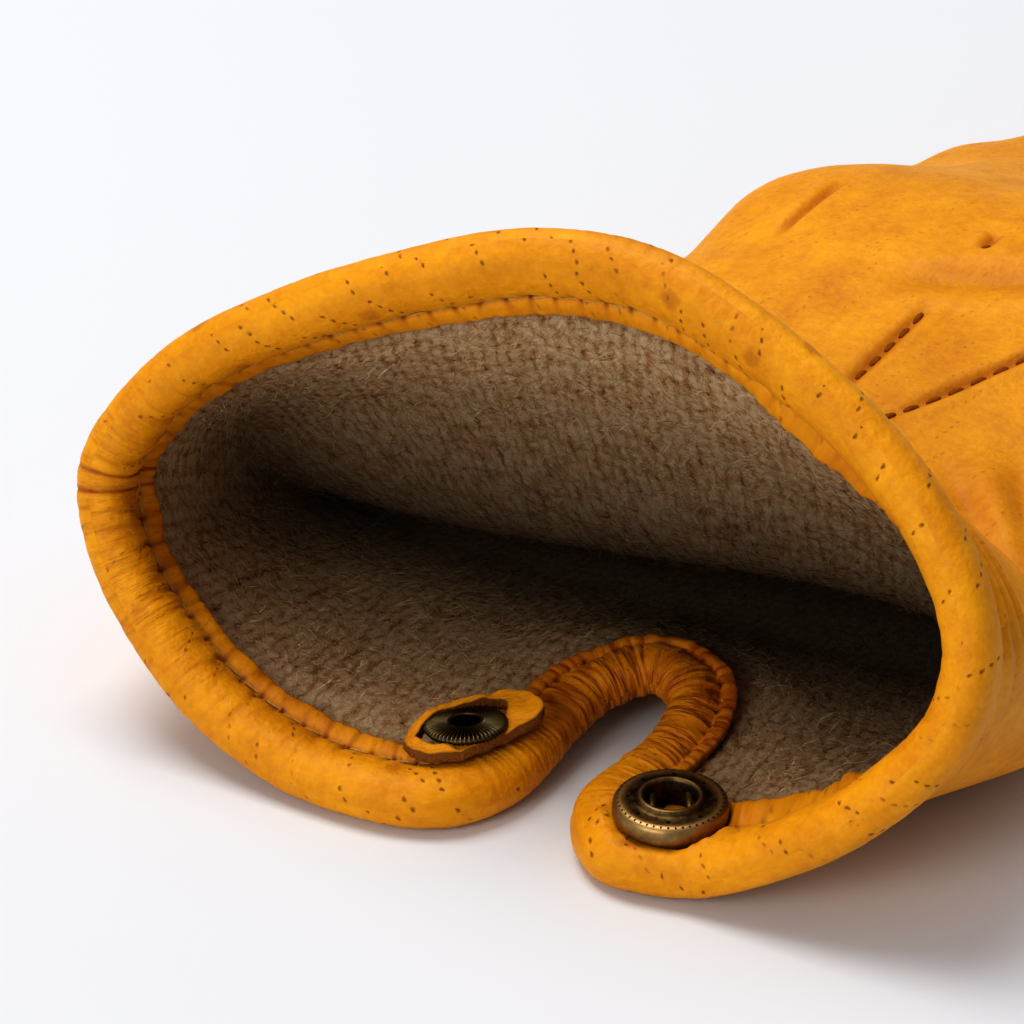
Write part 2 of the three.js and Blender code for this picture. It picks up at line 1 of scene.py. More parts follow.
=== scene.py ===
import bmesh
import bpy
import math
import numpy as np
from mathutils import Matrix, Vector, kdtree, noise
from mathutils.bvhtree import BVHTree


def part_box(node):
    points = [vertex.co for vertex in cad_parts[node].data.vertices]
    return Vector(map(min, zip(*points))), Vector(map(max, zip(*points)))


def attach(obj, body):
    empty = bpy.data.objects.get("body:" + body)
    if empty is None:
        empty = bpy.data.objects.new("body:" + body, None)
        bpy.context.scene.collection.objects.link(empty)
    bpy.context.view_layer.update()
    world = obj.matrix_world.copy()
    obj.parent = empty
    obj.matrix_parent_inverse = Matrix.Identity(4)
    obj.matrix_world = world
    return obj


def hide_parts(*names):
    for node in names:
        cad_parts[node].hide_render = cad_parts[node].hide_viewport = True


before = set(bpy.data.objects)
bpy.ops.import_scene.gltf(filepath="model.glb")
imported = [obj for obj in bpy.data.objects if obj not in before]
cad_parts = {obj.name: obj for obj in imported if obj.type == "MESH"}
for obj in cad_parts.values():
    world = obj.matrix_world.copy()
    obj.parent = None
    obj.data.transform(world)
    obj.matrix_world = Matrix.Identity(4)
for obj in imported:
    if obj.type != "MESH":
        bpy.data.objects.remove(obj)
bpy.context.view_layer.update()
scene = bpy.context.scene

# Camera, floor and light
# The glove lies on a sweep of matt paper, an even pale grey with hardly a shine. A wide soft lamp
# hangs over it and a weaker one stands in front, with light walls all round. The camera looks
# down 30 degrees into the cuff.
SOCKET_AT = np.array([18.5, -3.3, 5.2])
lowest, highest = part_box("snap_socket")
SHIFT = np.array([(lowest.x + highest.x) * 500, (lowest.y + highest.y) * 500, 0]) - SOCKET_AT * [1, 1, 0]
VIEW_TARGET = Vector((0, 0, 31.5))
VIEW_TURN = math.radians(28)
VIEW_DOWN = math.radians(30)
VIEW_DISTANCE = 430
LENS = 163.27
SENSOR = 36


def placed(points):
    """The glove's own millimetres, as metres in the row frame."""
    return (np.asarray(points, float) + SHIFT) / 1000


back = Vector((
    math.sin(VIEW_TURN) * math.cos(VIEW_DOWN),
    -math.cos(VIEW_TURN) * math.cos(VIEW_DOWN),
    math.sin(VIEW_DOWN),
))
camera = bpy.data.objects.new("camera", bpy.data.cameras.new("camera"))
camera.data.lens = LENS
camera.data.sensor_width = SENSOR
camera.data.clip_start = 0.01
camera.location = placed(VIEW_TARGET + back * VIEW_DISTANCE)
camera.rotation_mode = "QUATERNION"
camera.rotation_quaternion = (-back).to_track_quat("-Z", "Y")
scene.collection.objects.link(camera)
scene.camera = camera
scene.view_settings.view_transform = "Standard"
scene.view_settings.look = "High Contrast"


def linear(code, alpha=1.0):
    """A linear colour from an sRGB hex code."""
    parts = [int(code[i:i + 2], 16) / 255 for i in (1, 3, 5)]
    return (*[p / 12.92 if p <= 0.04045 else ((p + 0.055) / 1.055) ** 2.4 for p in parts], alpha)


def add(tree, kind, links=None, **settings):
    """Adds a node with its settings. links gives its inputs, as sockets to join or as values."""
    made = tree.nodes.new(kind)
    for name, value in settings.items():
        setattr(made, name, value)
    for name, value in (links or {}).items():
        if isinstance(value, bpy.types.NodeSocket):
            tree.links.new(value, made.inputs[name])
        else:
            made.inputs[name].default_value = value
    return made


def new_material(name, **sockets):
    """A material with only its shader, and the shader's plain values set."""
    material = bpy.data.materials.new(name)
    material.use_nodes = True
    tree = material.node_tree
    shader = tree.nodes["Principled BSDF"]
    for socket, value in sockets.items():
        shader.inputs[socket.replace("_", " ")].default_value = value
    return material, tree, shader


FLOOR_SIZE = 6.0
bm = bmesh.new()
bmesh.ops.create_grid(bm, x_segments=1, y_segments=1, size=FLOOR_SIZE / 2)
floor_mesh = bpy.data.meshes.new("floor")
bm.to_mesh(floor_mesh)
bm.free()
floor = bpy.data.objects.new("floor", floor_mesh)
scene.collection.objects.link(floor)
paper, tree, shader = new_material("matt_paper", Base_Color=linear("#E2E2E3"), Roughness=0.9)
shader.inputs["Specular IOR Level"].default_value = 0.1
floor_mesh.materials.append(paper)

world = bpy.data.worlds.new("pale_walls")
scene.world = world
world.use_nodes = True
walls = world.node_tree.nodes["Background"].inputs
walls["Color"].default_value = linear("#ECF2FD")
walls["Strength"].default_value = 0.28

# Places are in metres from the mouth of the glove; size is the side of a square lamp
LAMPS = [
    {"name": "overhead", "at": (-0.35, 0.15, 1.00), "size": 0.62, "watts": 6.7},
    {"name": "front_fill", "at": (-0.20, -0.98, 0.50), "size": 0.5, "watts": 3.7},
]
mouth = Vector(placed(VIEW_TARGET))
for lamp in LAMPS:
    data = bpy.data.lights.new(lamp["name"], "AREA")
    data.size = lamp["size"]
    data.energy = lamp["watts"]
    light = bpy.data.objects.new(lamp["name"], data)
    light.location = mouth + Vector(lamp["at"])
    light.rotation_mode = "QUATERNION"
    light.rotation_quaternion = (-Vector(lamp["at"])).to_track_quat("-Z", "Y")
    scene.collection.objects.link(light)

# The glove's own layout
# The wall's middle surface is lofted from the mouth and from sections of the hand, as a cutter's
# last would be, and every layer of leather or knit is that surface moved in or out.
MOUTH = [
    (15, -7.3, 2.4), (23, -6.8, 3), (30, -6.2, 6.5), (36, -5.3, 10.6), (41.5, -3.5, 16),
    (45.5, -1.2, 22), (46.2, 0.9, 28.3), (44.2, 2.8, 33.6), (39, 5, 39.8), (31, 7, 45.5),
    (20, 8.8, 50.7), (9, 9.8, 53.7), (-2, 9.6, 53), (-14, 8.1, 49), (-26, 6.2, 43.3),
    (-36, 4, 37), (-42, 1.5, 30.3), (-44.4, -0.5, 24.4), (-42.6, -2.6, 18.3),
    (-37.2, -4.9, 11.8), (-29, -7, 6), (-19, -8.5, 2.8), (-9, -8.6, 2.4),
]
VENT = [
    (-3.6, -6.4, 2.4), (-0.9, -1.6, 2.5), (0, 3.5, 2.9), (0.4, 9.5, 3.6), (1.8, 14.8, 4.5),
    (6.5, 18.9, 5.6), (11.3, 16.2, 5), (12.5, 10.5, 3.9), (11.6, 4, 2.9), (11, -2, 2.4),
]
LEFT_TIP = (-44.4, -0.5, 24.4)
MOUTH_CORNERS = [(2.5, -8, 2.4), (46.2, 0.5, 27), (5, 9.9, 53.9), LEFT_TIP]
# Sections of the hand, from behind the mouth to the knuckles. turn is clockwise, side, top and
# floor are heights, and swell is how much fuller the thumb's side is.
HAND = [
    {"x": 2, "y": 20, "turn": 0, "half": 46.2, "side": 14.5, "top": 32.5, "floor": 1, "swell": 1},
    {"x": 3, "y": 32, "turn": 1, "half": 44.5, "side": 8.5, "top": 12.5, "floor": 1, "swell": 3.5},
    {"x": 7.5, "y": 50, "turn": 5, "half": 41, "side": 8.5, "top": 15.5, "floor": 1, "swell": 1},
    {"x": 12, "y": 74, "turn": 11, "half": 38.5, "side": 10, "top": 18.5, "floor": 1, "swell": 0},
    {"x": 16.5, "y": 97, "turn": 14, "half": 38.5, "side": 10.5, "top": 21, "floor": 1, "swell": 0},
    {"x": 24, "y": 118.5, "turn": 19, "half": 38.6, "side": 8.5, "top": 14.6, "floor": 1, "swell": 0},
    {"x": 32.5, "y": 141.5, "turn": 23, "half": 37.4, "side": 6.5, "top": 11.8, "floor": 1, "swell": 0},
]
SWELL_SHAPE = 1.8
ROUND_TOP = 2.25
ROUND_BASE = 2.8
# The palm lifts off the floor behind the vent, on points lower than fades
LIFT = {"x": 6.5, "y": 19, "height": 4.6, "wide": 13, "ahead": 13, "behind": 8, "fades": (4, 14)}
LITTLE_SETBACK = 8
SETBACK_BESIDE = (17, 22)
AROUND = 240
HAND_SPAN = 14
RIM_SPAN = 40
QUARTER_POINTS = 41


def through(points, closed, fine):
    """Points on a centripetal Catmull-Rom curve through these, fine to a span."""
    p = np.asarray(points, float)
    if closed:
        p = np.concatenate([p[-1:], p, p[:2]])
    else:
        p = np.concatenate([2 * p[:1] - p[1:2], p, 2 * p[-1:] - p[-2:-1]])
    knots = np.linalg.norm(np.diff(p, axis=0), axis=-1, keepdims=True) ** 0.5
    out = []
    for i in range(len(p) - 3):
        a, b, c, d = p[i:i + 4]
        s, t, u = knots[i:i + 3]
        leave = ((b - a) / s - (c - a) / (s + t) + (c - b) / t) * t
        meet = ((c - b) / t - (d - b) / (t + u) + (d - c) / u) * t
        for w in np.arange(fine) / fine:
            out.append(
                b * (2 * w**3 - 3 * w**2 + 1) + leave * (w**3 - 2 * w**2 + w)
                + c * (3 * w**2 - 2 * w**3) + meet * (w**3 - w**2)
            )
    if not closed:
        out.append(p[-2])
    return np.array(out)


def evenly(line, steps):
    """Splits a line into equal steps, leaving its last point to the next line."""
    travelled = np.concatenate([[0], np.cumsum(np.linalg.norm(np.diff(line, axis=0), axis=1))])
    goals = np.linspace(0, travelled[-1], steps, endpoint=False)
    return np.stack([np.interp(goals, travelled, line[:, k]) for k in range(line.shape[1])], 1)


def smooth(value, low, high):
    """Nought below low, one above high, and an easy step between."""
    t = np.clip((value - low) / (high - low), 0, 1)
    return t * t * (3 - 2 * t)


def unit(ways):
    """Directions, each made one long."""
    return ways / np.linalg.norm(ways, axis=-1, keepdims=True)


def section(x, y, turn, half, side, top, floor, swell=0, count=AROUND):
    """A ring of a soft tube from under its middle, round by its right side."""
    ring = []
    for quarter in range(4):
        angle = (quarter - 1 + np.linspace(0, 1, QUARTER_POINTS)) * math.pi / 2
        c, s = np.cos(angle), np.sin(angle)
        power = np.where(s > 0, 2 / ROUND_TOP, 2 / ROUND_BASE)
        across = half * np.sign(c) * np.abs(c) ** power
        upright = np.sign(s) * np.abs(s) ** power
        off = across / half
        depth = np.where(s > 0, top - side, side - floor)
        leaning = swell * SWELL_SHAPE * off * (1 - off**2) * np.minimum(1 + upright, 1)
        way = math.radians(turn)
        east, north = x + across * math.cos(way), y - across * math.sin(way)
        line = np.stack([east, north, side + depth * upright + leaning], 1)
        ring.append(evenly(line, count // 4))
    return np.concatenate(ring)


mouth_line = through(MOUTH, True, RIM_SPAN)
starts = [int(np.argmin(np.linalg.norm(mouth_line - corner, axis=1))) for corner in MOUTH_CORNERS]
mouth_ring = []
for start, end in zip(starts, starts[1:] + starts[:1]):
    steps = (end - start) % len(mouth_line)
    quarter = mouth_line[(start + np.arange(steps + 1)) % len(mouth_line)]
    mouth_ring.append(evenly(quarter, AROUND // 4))
rows = [np.concatenate(mouth_ring)] + [section(**row) for row in HAND]
knuckle = math.radians(HAND[-1]["turn"])
FORWARD = np.array([math.sin(knuckle), math.cos(knuckle), 0])
ACROSS = np.array([math.cos(knuckle), -math.sin(knuckle), 0])
KNUCKLE_MIDDLE = np.array([HAND[-1]["x"], HAND[-1]["y"], 0])
beside = (rows[-1] - KNUCKLE_MIDDLE) @ ACROSS
rows[-1] = rows[-1] - FORWARD * (LITTLE_SETBACK * smooth(-beside, *SETBACK_BESIDE))[:, None]
hand = through(rows, False, HAND_SPAN)
reach = np.where(hand[..., 1] < LIFT["y"], LIFT["ahead"], LIFT["behind"])
near = ((hand[..., 0] - LIFT["x"]) / LIFT["wide"]) ** 2 + ((hand[..., 1] - LIFT["y"]) / reach) ** 2
raised = LIFT["height"] * np.exp(-near) * (1 - smooth(hand[..., 2], *LIFT["fades"]))
raised[0] = 0
hand[..., 2] += raised
along = np.gradient(hand, axis=0)
hand_normals = unit(np.cross(along, np.roll(hand, -1, axis=1) - np.roll(hand, 1, axis=1)))

# Peccary leather
# Drum-dyed peccary with a waxed finish, supple and satin, its bristle pores in short rows. It
# gives broad soft highlights, a cloudy dye and brown pricks. Shade is painted into its creases,
# puckers and tucks, its turned-in strip and round the vent, as a deeper red-brown, and a cut
# edge shows its rough fibres.

# Sizes are in millimetres on the hide and turns in radians, and the rest are counts or shares
PORE_ROWS_APART = 4.9
PORE_STEP = 1.15
PORE_RADIUS = 0.21
PORE_SHAPE = 1.7
PORES_EACH_WAY = (-2.0, 1.0)
PORE_ROW_TURNS = (1.75, 2.3)
PORE_ROWS_OPEN = 0.45
RAGGED = 0.625
MOTTLE = 9.0
FINE_MOTTLE = 1.1
MOLES_APART = 17.0
MOLE_CORE, MOLE_EDGE = 0.595, 1.275
MOLE_TINT = 0.42
GRAIN = 0.6
PLEAT = 0.9
PLEAT_LONG = 0.13
CUT_FIBRES = 3.5

leather, tree, shader = new_material("peccary_leather", Roughness=0.5)
shader.inputs["Specular IOR Level"].default_value = 0.28
shader.inputs["Sheen Weight"].default_value = 0.05
shader.inputs["Sheen Roughness"].default_value = 0.45
shader.inputs["Sheen Tint"].default_value = linear("#FFE2B8")
skin = add(tree, "ShaderNodeUVMap", uv_map="skin").outputs[0]
# What each piece says of its hide: how much its colour deepens, by painted shade in its hollows
# and by its seam lines, how rough with cut fibres it is, how far its pores and its pleats show,
# and where a needle has pricked it
deep, raw, pored, pleated, pricked = [
    add(tree, "ShaderNodeAttribute", attribute_name=name).outputs["Fac"]
    for name in ("deep", "raw", "pored", "pleated", "pricked")
]
cloud = add(
    tree, "ShaderNodeTexNoise",
    {"Vector": skin, "Scale": 1 / MOTTLE, "Detail": 4, "Roughness": 0.6},
)
fine = add(
    tree, "ShaderNodeTexNoise",
    {"Vector": skin, "Scale": 1 / FINE_MOTTLE, "Detail": 5, "Roughness": 0.7},
)
fine_part = add(tree, "ShaderNodeMath", {0: fine.outputs["Fac"], 1: 0.42}, operation="MULTIPLY")
both = add(
    tree, "ShaderNodeMath", {0: cloud.outputs["Fac"], 1: 0.58, 2: fine_part.outputs[0]},
    operation="MULTIPLY_ADD",
)
dye = add(tree, "ShaderNodeValToRGB", {"Fac": both.outputs[0]})
dye.color_ramp.elements[0].position = 0.31
dye.color_ramp.elements[0].color = linear("#D08206")
dye.color_ramp.elements[1].position = 0.70
dye.color_ramp.elements[1].color = linear("#F7AE14")
# Rows of pores: each cell's point is a row's middle, and its colour turns the row a little
# and says how open its pores are
cells = add(
    tree, "ShaderNodeTexVoronoi", {"Vector": skin, "Scale": 1 / PORE_ROWS_APART, "Randomness": 0.8},
    voronoi_dimensions="2D",
)
offset = add(
    tree, "ShaderNodeVectorMath", {0: skin, 1: cells.outputs["Position"]}, operation="SUBTRACT",
)
parts = add(tree, "ShaderNodeSeparateColor", {"Color": cells.outputs["Color"]})
angle = add(
    tree, "ShaderNodeMapRange",
    {"Value": parts.outputs["Red"], "To Min": PORE_ROW_TURNS[0], "To Max": PORE_ROW_TURNS[1]},
)
row = add(
    tree, "ShaderNodeVectorRotate", {"Vector": offset.outputs[0], "Angle": angle.outputs[0]},
    rotation_type="Z_AXIS",
)
# A fine noise shakes the pores out of line and gives the moles their ragged edge
ragged = add(tree, "ShaderNodeTexNoise", {"Vector": skin, "Scale": 1 / RAGGED, "Detail": 2})
shaken = add(
    tree, "ShaderNodeVectorMath", {0: ragged.outputs["Color"], 1: (0.5, 0.5, 0.0), 2: row.outputs[0]},
    operation="MULTIPLY_ADD",
)
shaken_skin = add(
    tree, "ShaderNodeVectorMath", {0: ragged.outputs["Color"], 1: (0.9, 0.9, 0.0), 2: skin},
    operation="MULTIPLY_ADD",
)
xyz = add(tree, "ShaderNodeSeparateXYZ", {"Vector": shaken.outputs[0]})
steps = add(tree, "ShaderNodeMath", {0: xyz.outputs["X"], 1: PORE_STEP}, operation="DIVIDE")
whole = add(tree, "ShaderNodeMath", {0: steps.outputs[0]}, operation="ROUND")
held = add(
    tree, "ShaderNodeClamp",
    {"Value": whole.outputs[0], "Min": PORES_EACH_WAY[0], "Max": PORES_EACH_WAY[1]},
)
along_row = add(
    tree, "ShaderNodeMath", {0: held.outputs[0], 1: -PORE_STEP, 2: xyz.outputs["X"]},
    operation="MULTIPLY_ADD",
)
wide = add(tree, "ShaderNodeMath", {0: xyz.outputs["Y"], 1: PORE_SHAPE}, operation="MULTIPLY")
flat = add(tree, "ShaderNodeCombineXYZ", {"X": along_row.outputs[0], "Y": wide.outputs[0]})
away = add(tree, "ShaderNodeVectorMath", {0: flat.outputs[0]}, operation="LENGTH")
pricks = add(
    tree, "ShaderNodeMapRange",
    {"Value": away.outputs["Value"], "From Min": PORE_RADIUS * 0.5, "From Max": PORE_RADIUS * 1.7,
     "To Min": 1.0, "To Max": 0.0},
)
open_rows = add(
    tree, "ShaderNodeMapRange",
    {"Value": parts.outputs["Green"], "From Min": 0.0, "From Max": PORE_ROWS_OPEN},
)
open_pores = add(tree, "ShaderNodeMath", {0: open_rows.outputs[0], 1: pored}, operation="MULTIPLY")
pores = add(
    tree, "ShaderNodeMath", {0: pricks.outputs[0], 1: open_pores.outputs[0]}, operation="MULTIPLY",
)
# Sparse brown moles, a millimetre or two across
spots = add(
    tree, "ShaderNodeTexVoronoi",
    {"Vector": shaken_skin.outputs[0], "Scale": 1 / MOLES_APART, "Randomness": 1.0},
    voronoi_dimensions="2D",
)
mole = add(
    tree, "ShaderNodeMapRange",
    {"Value": spots.outputs["Distance"], "From Min": MOLE_CORE / MOLES_APART,
     "From Max": MOLE_EDGE / MOLES_APART, "To Min": MOLE_TINT, "To Max": 0.0},
)
moles = add(tree, "ShaderNodeMath", {0: mole.outputs[0], 1: pored}, operation="MULTIPLY")
# Long fine creases that run across the hem, where it is gathered: sunk in the relief, with
# shade painted into them
across_hem = add(tree, "ShaderNodeMapping", {"Vector": skin, "Scale": (1.0, PLEAT_LONG, 1.0)})
crease = add(
    tree, "ShaderNodeTexNoise",
    {"Vector": across_hem.outputs[0], "Scale": 1 / PLEAT, "Detail": 3, "Roughness": 0.55,
     "Distortion": 0.25},
)
creased = add(
    tree, "ShaderNodeMapRange",
    {"Value": crease.outputs["Fac"], "From Min": 0.36, "From Max": 0.52, "To Min": 1.0, "To Max": 0.0},
)
pleats = add(tree, "ShaderNodeMath", {0: creased.outputs[0], 1: pleated}, operation="MULTIPLY")
# Moles, seam lines and the shade painted into hollows and creases darken the dye to red-brown
moles_seams_and_shade = add(tree, "ShaderNodeMath", {0: moles.outputs[0], 1: deep}, operation="ADD")
darkening_and_shade = add(
    tree, "ShaderNodeMath", {0: pleats.outputs[0], 1: 0.42, 2: moles_seams_and_shade.outputs[0]},
    operation="MULTIPLY_ADD", use_clamp=True,
)
deeper = add(
    tree, "ShaderNodeMix", {"Factor": darkening_and_shade.outputs[0], 6: dye.outputs[0], 7: linear("#A04A02")},
    data_type="RGBA",
)
edge_fibre = add(
    tree, "ShaderNodeTexNoise", {"Vector": skin, "Scale": CUT_FIBRES, "Detail": 4, "Roughness": 0.8},
)
edge_tone = add(tree, "ShaderNodeValToRGB", {"Fac": edge_fibre.outputs["Fac"]})
edge_tone.color_ramp.elements[0].position = 0.35
edge_tone.color_ramp.elements[0].color = linear("#4E2A08")
edge_tone.color_ramp.elements[1].position = 0.68
edge_tone.color_ramp.elements[1].color = linear("#B8782A")
edged = add(
    tree, "ShaderNodeMix", {"Factor": raw, 6: deeper.outputs[2], 7: edge_tone.outputs[0]},
    data_type="RGBA",
)
dark_spots = add(
    tree, "ShaderNodeMath", {0: pores.outputs[0], 1: 0.85, 2: pricked},
    operation="MULTIPLY_ADD", use_clamp=True,
)
coloured = add(
    tree, "ShaderNodeMix", {"Factor": dark_spots.outputs[0], 6: edged.outputs[2], 7: linear("#6E3406")},
    data_type="RGBA",
)
tree.links.new(coloured.outputs[2], shader.inputs["Base Color"])
# The relief: a fine pebble, the fibres of a cut edge, and pleats and pores that go in
pebble = add(
    tree, "ShaderNodeTexVoronoi", {"Vector": skin, "Scale": 1 / GRAIN, "Randomness": 1.0},
    voronoi_dimensions="2D", feature="SMOOTH_F1",
)
relief = add(
    tree, "ShaderNodeMath", {0: pebble.outputs["Distance"], 1: 0.3, 2: fine.outputs["Fac"]},
    operation="MULTIPLY_ADD",
)
rough_edge = add(
    tree, "ShaderNodeMath", {0: edge_fibre.outputs["Fac"], 1: raw, 2: relief.outputs[0]},
    operation="MULTIPLY_ADD",
)
with_pleats = add(
    tree, "ShaderNodeMath", {0: pleats.outputs[0], 1: -1.1, 2: rough_edge.outputs[0]},
    operation="MULTIPLY_ADD",
)
sunk = add(
    tree, "ShaderNodeMath", {0: pores.outputs[0], 1: -0.8, 2: with_pleats.outputs[0]},
    operation="MULTIPLY_ADD",
)
bump = add(tree, "ShaderNodeBump", {"Height": sunk.outputs[0], "Strength": 0.6, "Distance": 0.00025})
tree.links.new(bump.outputs[0], shader.inputs["Normal"])

# Hem
# The cuff's edge is a strip of the same hide, rolled over a soft cord, turned in and stitched
# through. It puckers at every needle hole, and gathers into pleats where its line turns.
ROLL = [
    (-3.1, 0), (-2.7, 1.45), (-1.4, 2.25), (0.4, 2.35), (2.1, 1.7), (3.1, 0.5), (3.3, -0.5),
    (4.5, -0.8), (5.15, -1.3), (5.1, -2.1), (4.3, -2.35), (3.65, -2.2), (3.3, -1.78), (2.95, -2.1),
    (1.8, -2.75), (-0.6, -2.9), (-2.5, -1.9),
]
# On the roll's section: the stitches' groove, the start of the turned-in strip and its cut edge
GROOVE = (3.3, -1.9)
STRIP_STARTS = 3.4
RAW_EDGE = 4.85
STITCH_PITCH = 2.9
HEM_STATIONS = 1400
# How near to the hem's line a point counts as on the hem, and to the mouth's as on its rim
HEM_NEAR, RIM_NEAR = 9, 3.5
# Where the line bends, the strip reaches no further in than this share of the bend's radius
TIGHTEST = 0.75
SLIM_AT_VENT = 0.17
VENT_REACH = 26
# The strip's ends meet near the left tip, in a seam that shows as two shallow lines
SEAMS_FROM_TIP = (-0.4, 1.7)
SEAM = {"wide": 0.24, "deep": 0.045, "tint": 0.8}
# A pucker at each needle hole: its width there and how fast it widens, how far it runs and how
# deep it is in smooth leather, what gathering adds to both, how far it wanders, and its tint, the
# shade painted into it
PUCKER = {
    "wide": 0.3, "widens": 0.05, "runs": 0.9, "runs_more": 2.6, "deep": 0.12, "deeper": 0.14,
    "wanders": 0.9, "pull": 0.65, "uneven": 0.7, "on_strip": 0.35, "tint": 0.5,
}
# The folds across the roll and the sharp creases between them, as shares of the roll's size.
# apart, closer_at_vent, long and near_groove are millimetres
# tint is the shade painted into the creases between the folds
FOLDS = {
    "apart": 2.8, "closer_at_vent": 1.9, "long": 9, "much": 0.04, "gathered": 0.04, "crease": 0.04,
    "crease_gathered": 0.035, "crease_thin": 0.11, "stretched": 0.3, "near_groove": 4.5,
    "loose_at_vent": 0.4, "swell": 0.035, "tint": 0.4,
}
# Shade painted on the turned-in strip, and round the vent's end, where the glove shades it
STRIP_SHADE = 0.13
VENT_SHADE = 0.27
NEEDLE_HOLE = {"along": 0.3, "across": 0.35}
# Each place that is gathered: how much, and how far it reaches to each side in millimetres
GATHERS = [
    {"near": LEFT_TIP, "much": 0.34, "reach": 24},
    {"near": (-36, -5.2, 11), "much": 0.38, "reach": 34},
    {"near": (6.5, 18.9, 5.6), "much": 1.0, "reach": 24},
]
GATHERED_ELSEWHERE = 0.12
# Places where more of the turned-in strip shows: how much wider it is, and how far it stands up
LOOSE_STRIP = [
    {"near": (9, 9.8, 53.7), "wider": 0.75, "stands": 0.0, "reach": 62},
    {"near": (36, -5.3, 10.6), "wider": 2.0, "stands": 1.1, "reach": 32},
    {"near": (40, 4.4, 38.5), "wider": 0.4, "stands": 1.5, "reach": 26},
    {"near": (-36, -5.2, 11), "wider": 0.5, "stands": 0.45, "reach": 50},
]
# The snap's places and sizes that the hem is pressed by
EYELET_AT = np.array([-4.2, -0.6, 6.9])
CAP_RADIUS = 5.6
STUD_HEAD = 2.0
PATCH_TURN = math.radians(36)
PATCH_RISE = math.radians(4)
PATCH_THICK = 0.9
# The place on the roll that the patch lies on, in the patch's own millimetres
PATCH_BED = {"middle": 1, "half": 8.6, "side": 5, "high": 4, "gap": 0.1}
# The socket presses the roll flat and it bulges round the edge: distances from the ring's middle
SOCKET_BED = {
    "near": 9, "above": 3, "gap": 0.15, "flat_to": 5.1, "free_from": 6.9, "free": 3.2,
    "bulge": 0.5, "bulge_at": 6.6, "bulge_wide": 0.8,
}
# How far the snap's plates and bare leather lie over the floor
OVER_PLATE, OVER_FLOOR = 0.35, 0.02
on_patch = (
    Matrix.Translation(Vector(EYELET_AT)) @ Matrix.Rotation(PATCH_TURN, 4, "Z")
    @ Matrix.Rotation(-PATCH_RISE, 4, "Y")
)


def bell(off, wide):
    """One at nought, falling off softly to almost nothing at twice the width."""
    return np.exp(-((off / wide) ** 2))


def spaced(line, count):
    """Equal steps round a closed line."""
    return evenly(np.concatenate([line, line[:1]]), count)


def finder(points):
    """A tree that finds the nearest of these points."""
    tree = kdtree.KDTree(len(points))
    for k, point in enumerate(points):
        tree.insert(point, k)
    tree.balance()
    return tree


hem_line = spaced(through(MOUTH + VENT, True, RIM_SPAN), HEM_STATIONS)
hem_step = np.linalg.norm(hem_line[1] - hem_line[0])
hem_length = HEM_STATIONS * hem_step
rim_tree = finder(hand[0])
out = np.zeros_like(hem_line)
for i, point in enumerate(hem_line):
    _, j, distance = rim_tree.find(point)
    out[i] = hand_normals[0][j] if distance < RIM_NEAR else (0, 0, -1)


def blurred(values, reach_mm):
    """A closed row of values, each averaged with those within a reach along the hem."""
    reach = max(int(reach_mm / hem_step), 1)
    weights = np.hanning(2 * reach + 3)[1:-1]
    weights /= weights.sum()
    return sum(w * np.roll(values, k - reach, axis=0) for k, w in enumerate(weights))


# Three directions along the hem: ahead, out of the wall and in from the edge
out = blurred(out, 9)
ahead = unit(blurred(unit(np.roll(hem_line, -6, axis=0) - np.roll(hem_line, 6, axis=0)), 2))
out = unit(out - ahead * np.sum(out * ahead, axis=1, keepdims=True))
inward = np.cross(ahead, out)
bend = blurred(np.sum(np.gradient(ahead, axis=0) * inward, axis=1) / hem_step, 5)
travelled = np.arange(HEM_STATIONS) * hem_step
hem_tree = finder(hem_line)


def on_hem(point):
    """How far along the hem its nearest place to a point is, in millimetres."""
    return float(travelled[hem_tree.find(point)[1]])


def along_hem(centre, half):
    """One near a place on the hem, falling to nought half the given way to each side."""
    off = (travelled - centre + hem_length / 2) % hem_length - hem_length / 2
    return 1 - smooth(np.abs(off), half * 0.5, half)


def summed(places, amount):
    """An amount that these places have, felt along the hem as far as each of them reaches."""
    return sum(place[amount] * along_hem(on_hem(place["near"]), place["reach"]) for place in places)


def above_snap(x, y):
    """How high leather lies over the floor, where the snap's plates hold it off."""
    over_cap = math.hypot(x - SOCKET_AT[0], y - SOCKET_AT[1]) < CAP_RADIUS
    over_stud = math.hypot(x - EYELET_AT[0], y - EYELET_AT[1]) < STUD_HEAD
    return OVER_PLATE if over_cap or over_stud else OVER_FLOOR


def over_wall(point):
    """How far in from the hem's line a point of the wall lies, where the hem is near it."""
    found, i, distance = hem_tree.find(point)
    if distance > HEM_NEAR:
        return distance
    return float(np.dot(np.asarray(point) - hem_line[i], inward[i]))


def pressed(point):
    """A point of the roll where the snap presses it: flat below the socket, with a bulge round
    that, and down again below the patch."""
    off_socket = math.hypot(point[0] - SOCKET_AT[0], point[1] - SOCKET_AT[1])
    if off_socket < SOCKET_BED["near"] and point[2] > SOCKET_BED["above"]:
        bulge = SOCKET_BED["bulge"] * bell(off_socket - SOCKET_BED["bulge_at"], SOCKET_BED["bulge_wide"])
        bulge *= 0.6 + noise.noise(tuple(point / 1.7))
        free = SOCKET_BED["free"] * smooth(off_socket, SOCKET_BED["flat_to"], SOCKET_BED["free_from"])
        point[2] = min(point[2], SOCKET_AT[2] - SOCKET_BED["gap"] + free) + bulge
    under = from_patch @ Vector(point)
    bed = -PATCH_THICK - PATCH_BED["gap"]
    over_bed = abs(under.x - PATCH_BED["middle"]) < PATCH_BED["half"] and abs(under.y) < PATCH_BED["side"]
    if over_bed and bed < under.z < PATCH_BED["high"]:
        under.z = bed
        point = np.array(on_patch @ under)
    return point


def closing(grid, around, along):
    """A grid of values with its first column or row repeated at its end."""
    grid = np.asarray(grid)
    if around:
        grid = np.concatenate([grid, grid[:, :1]], axis=1)
    if along:
        grid = np.concatenate([grid, grid[:1]], axis=0)
    return grid


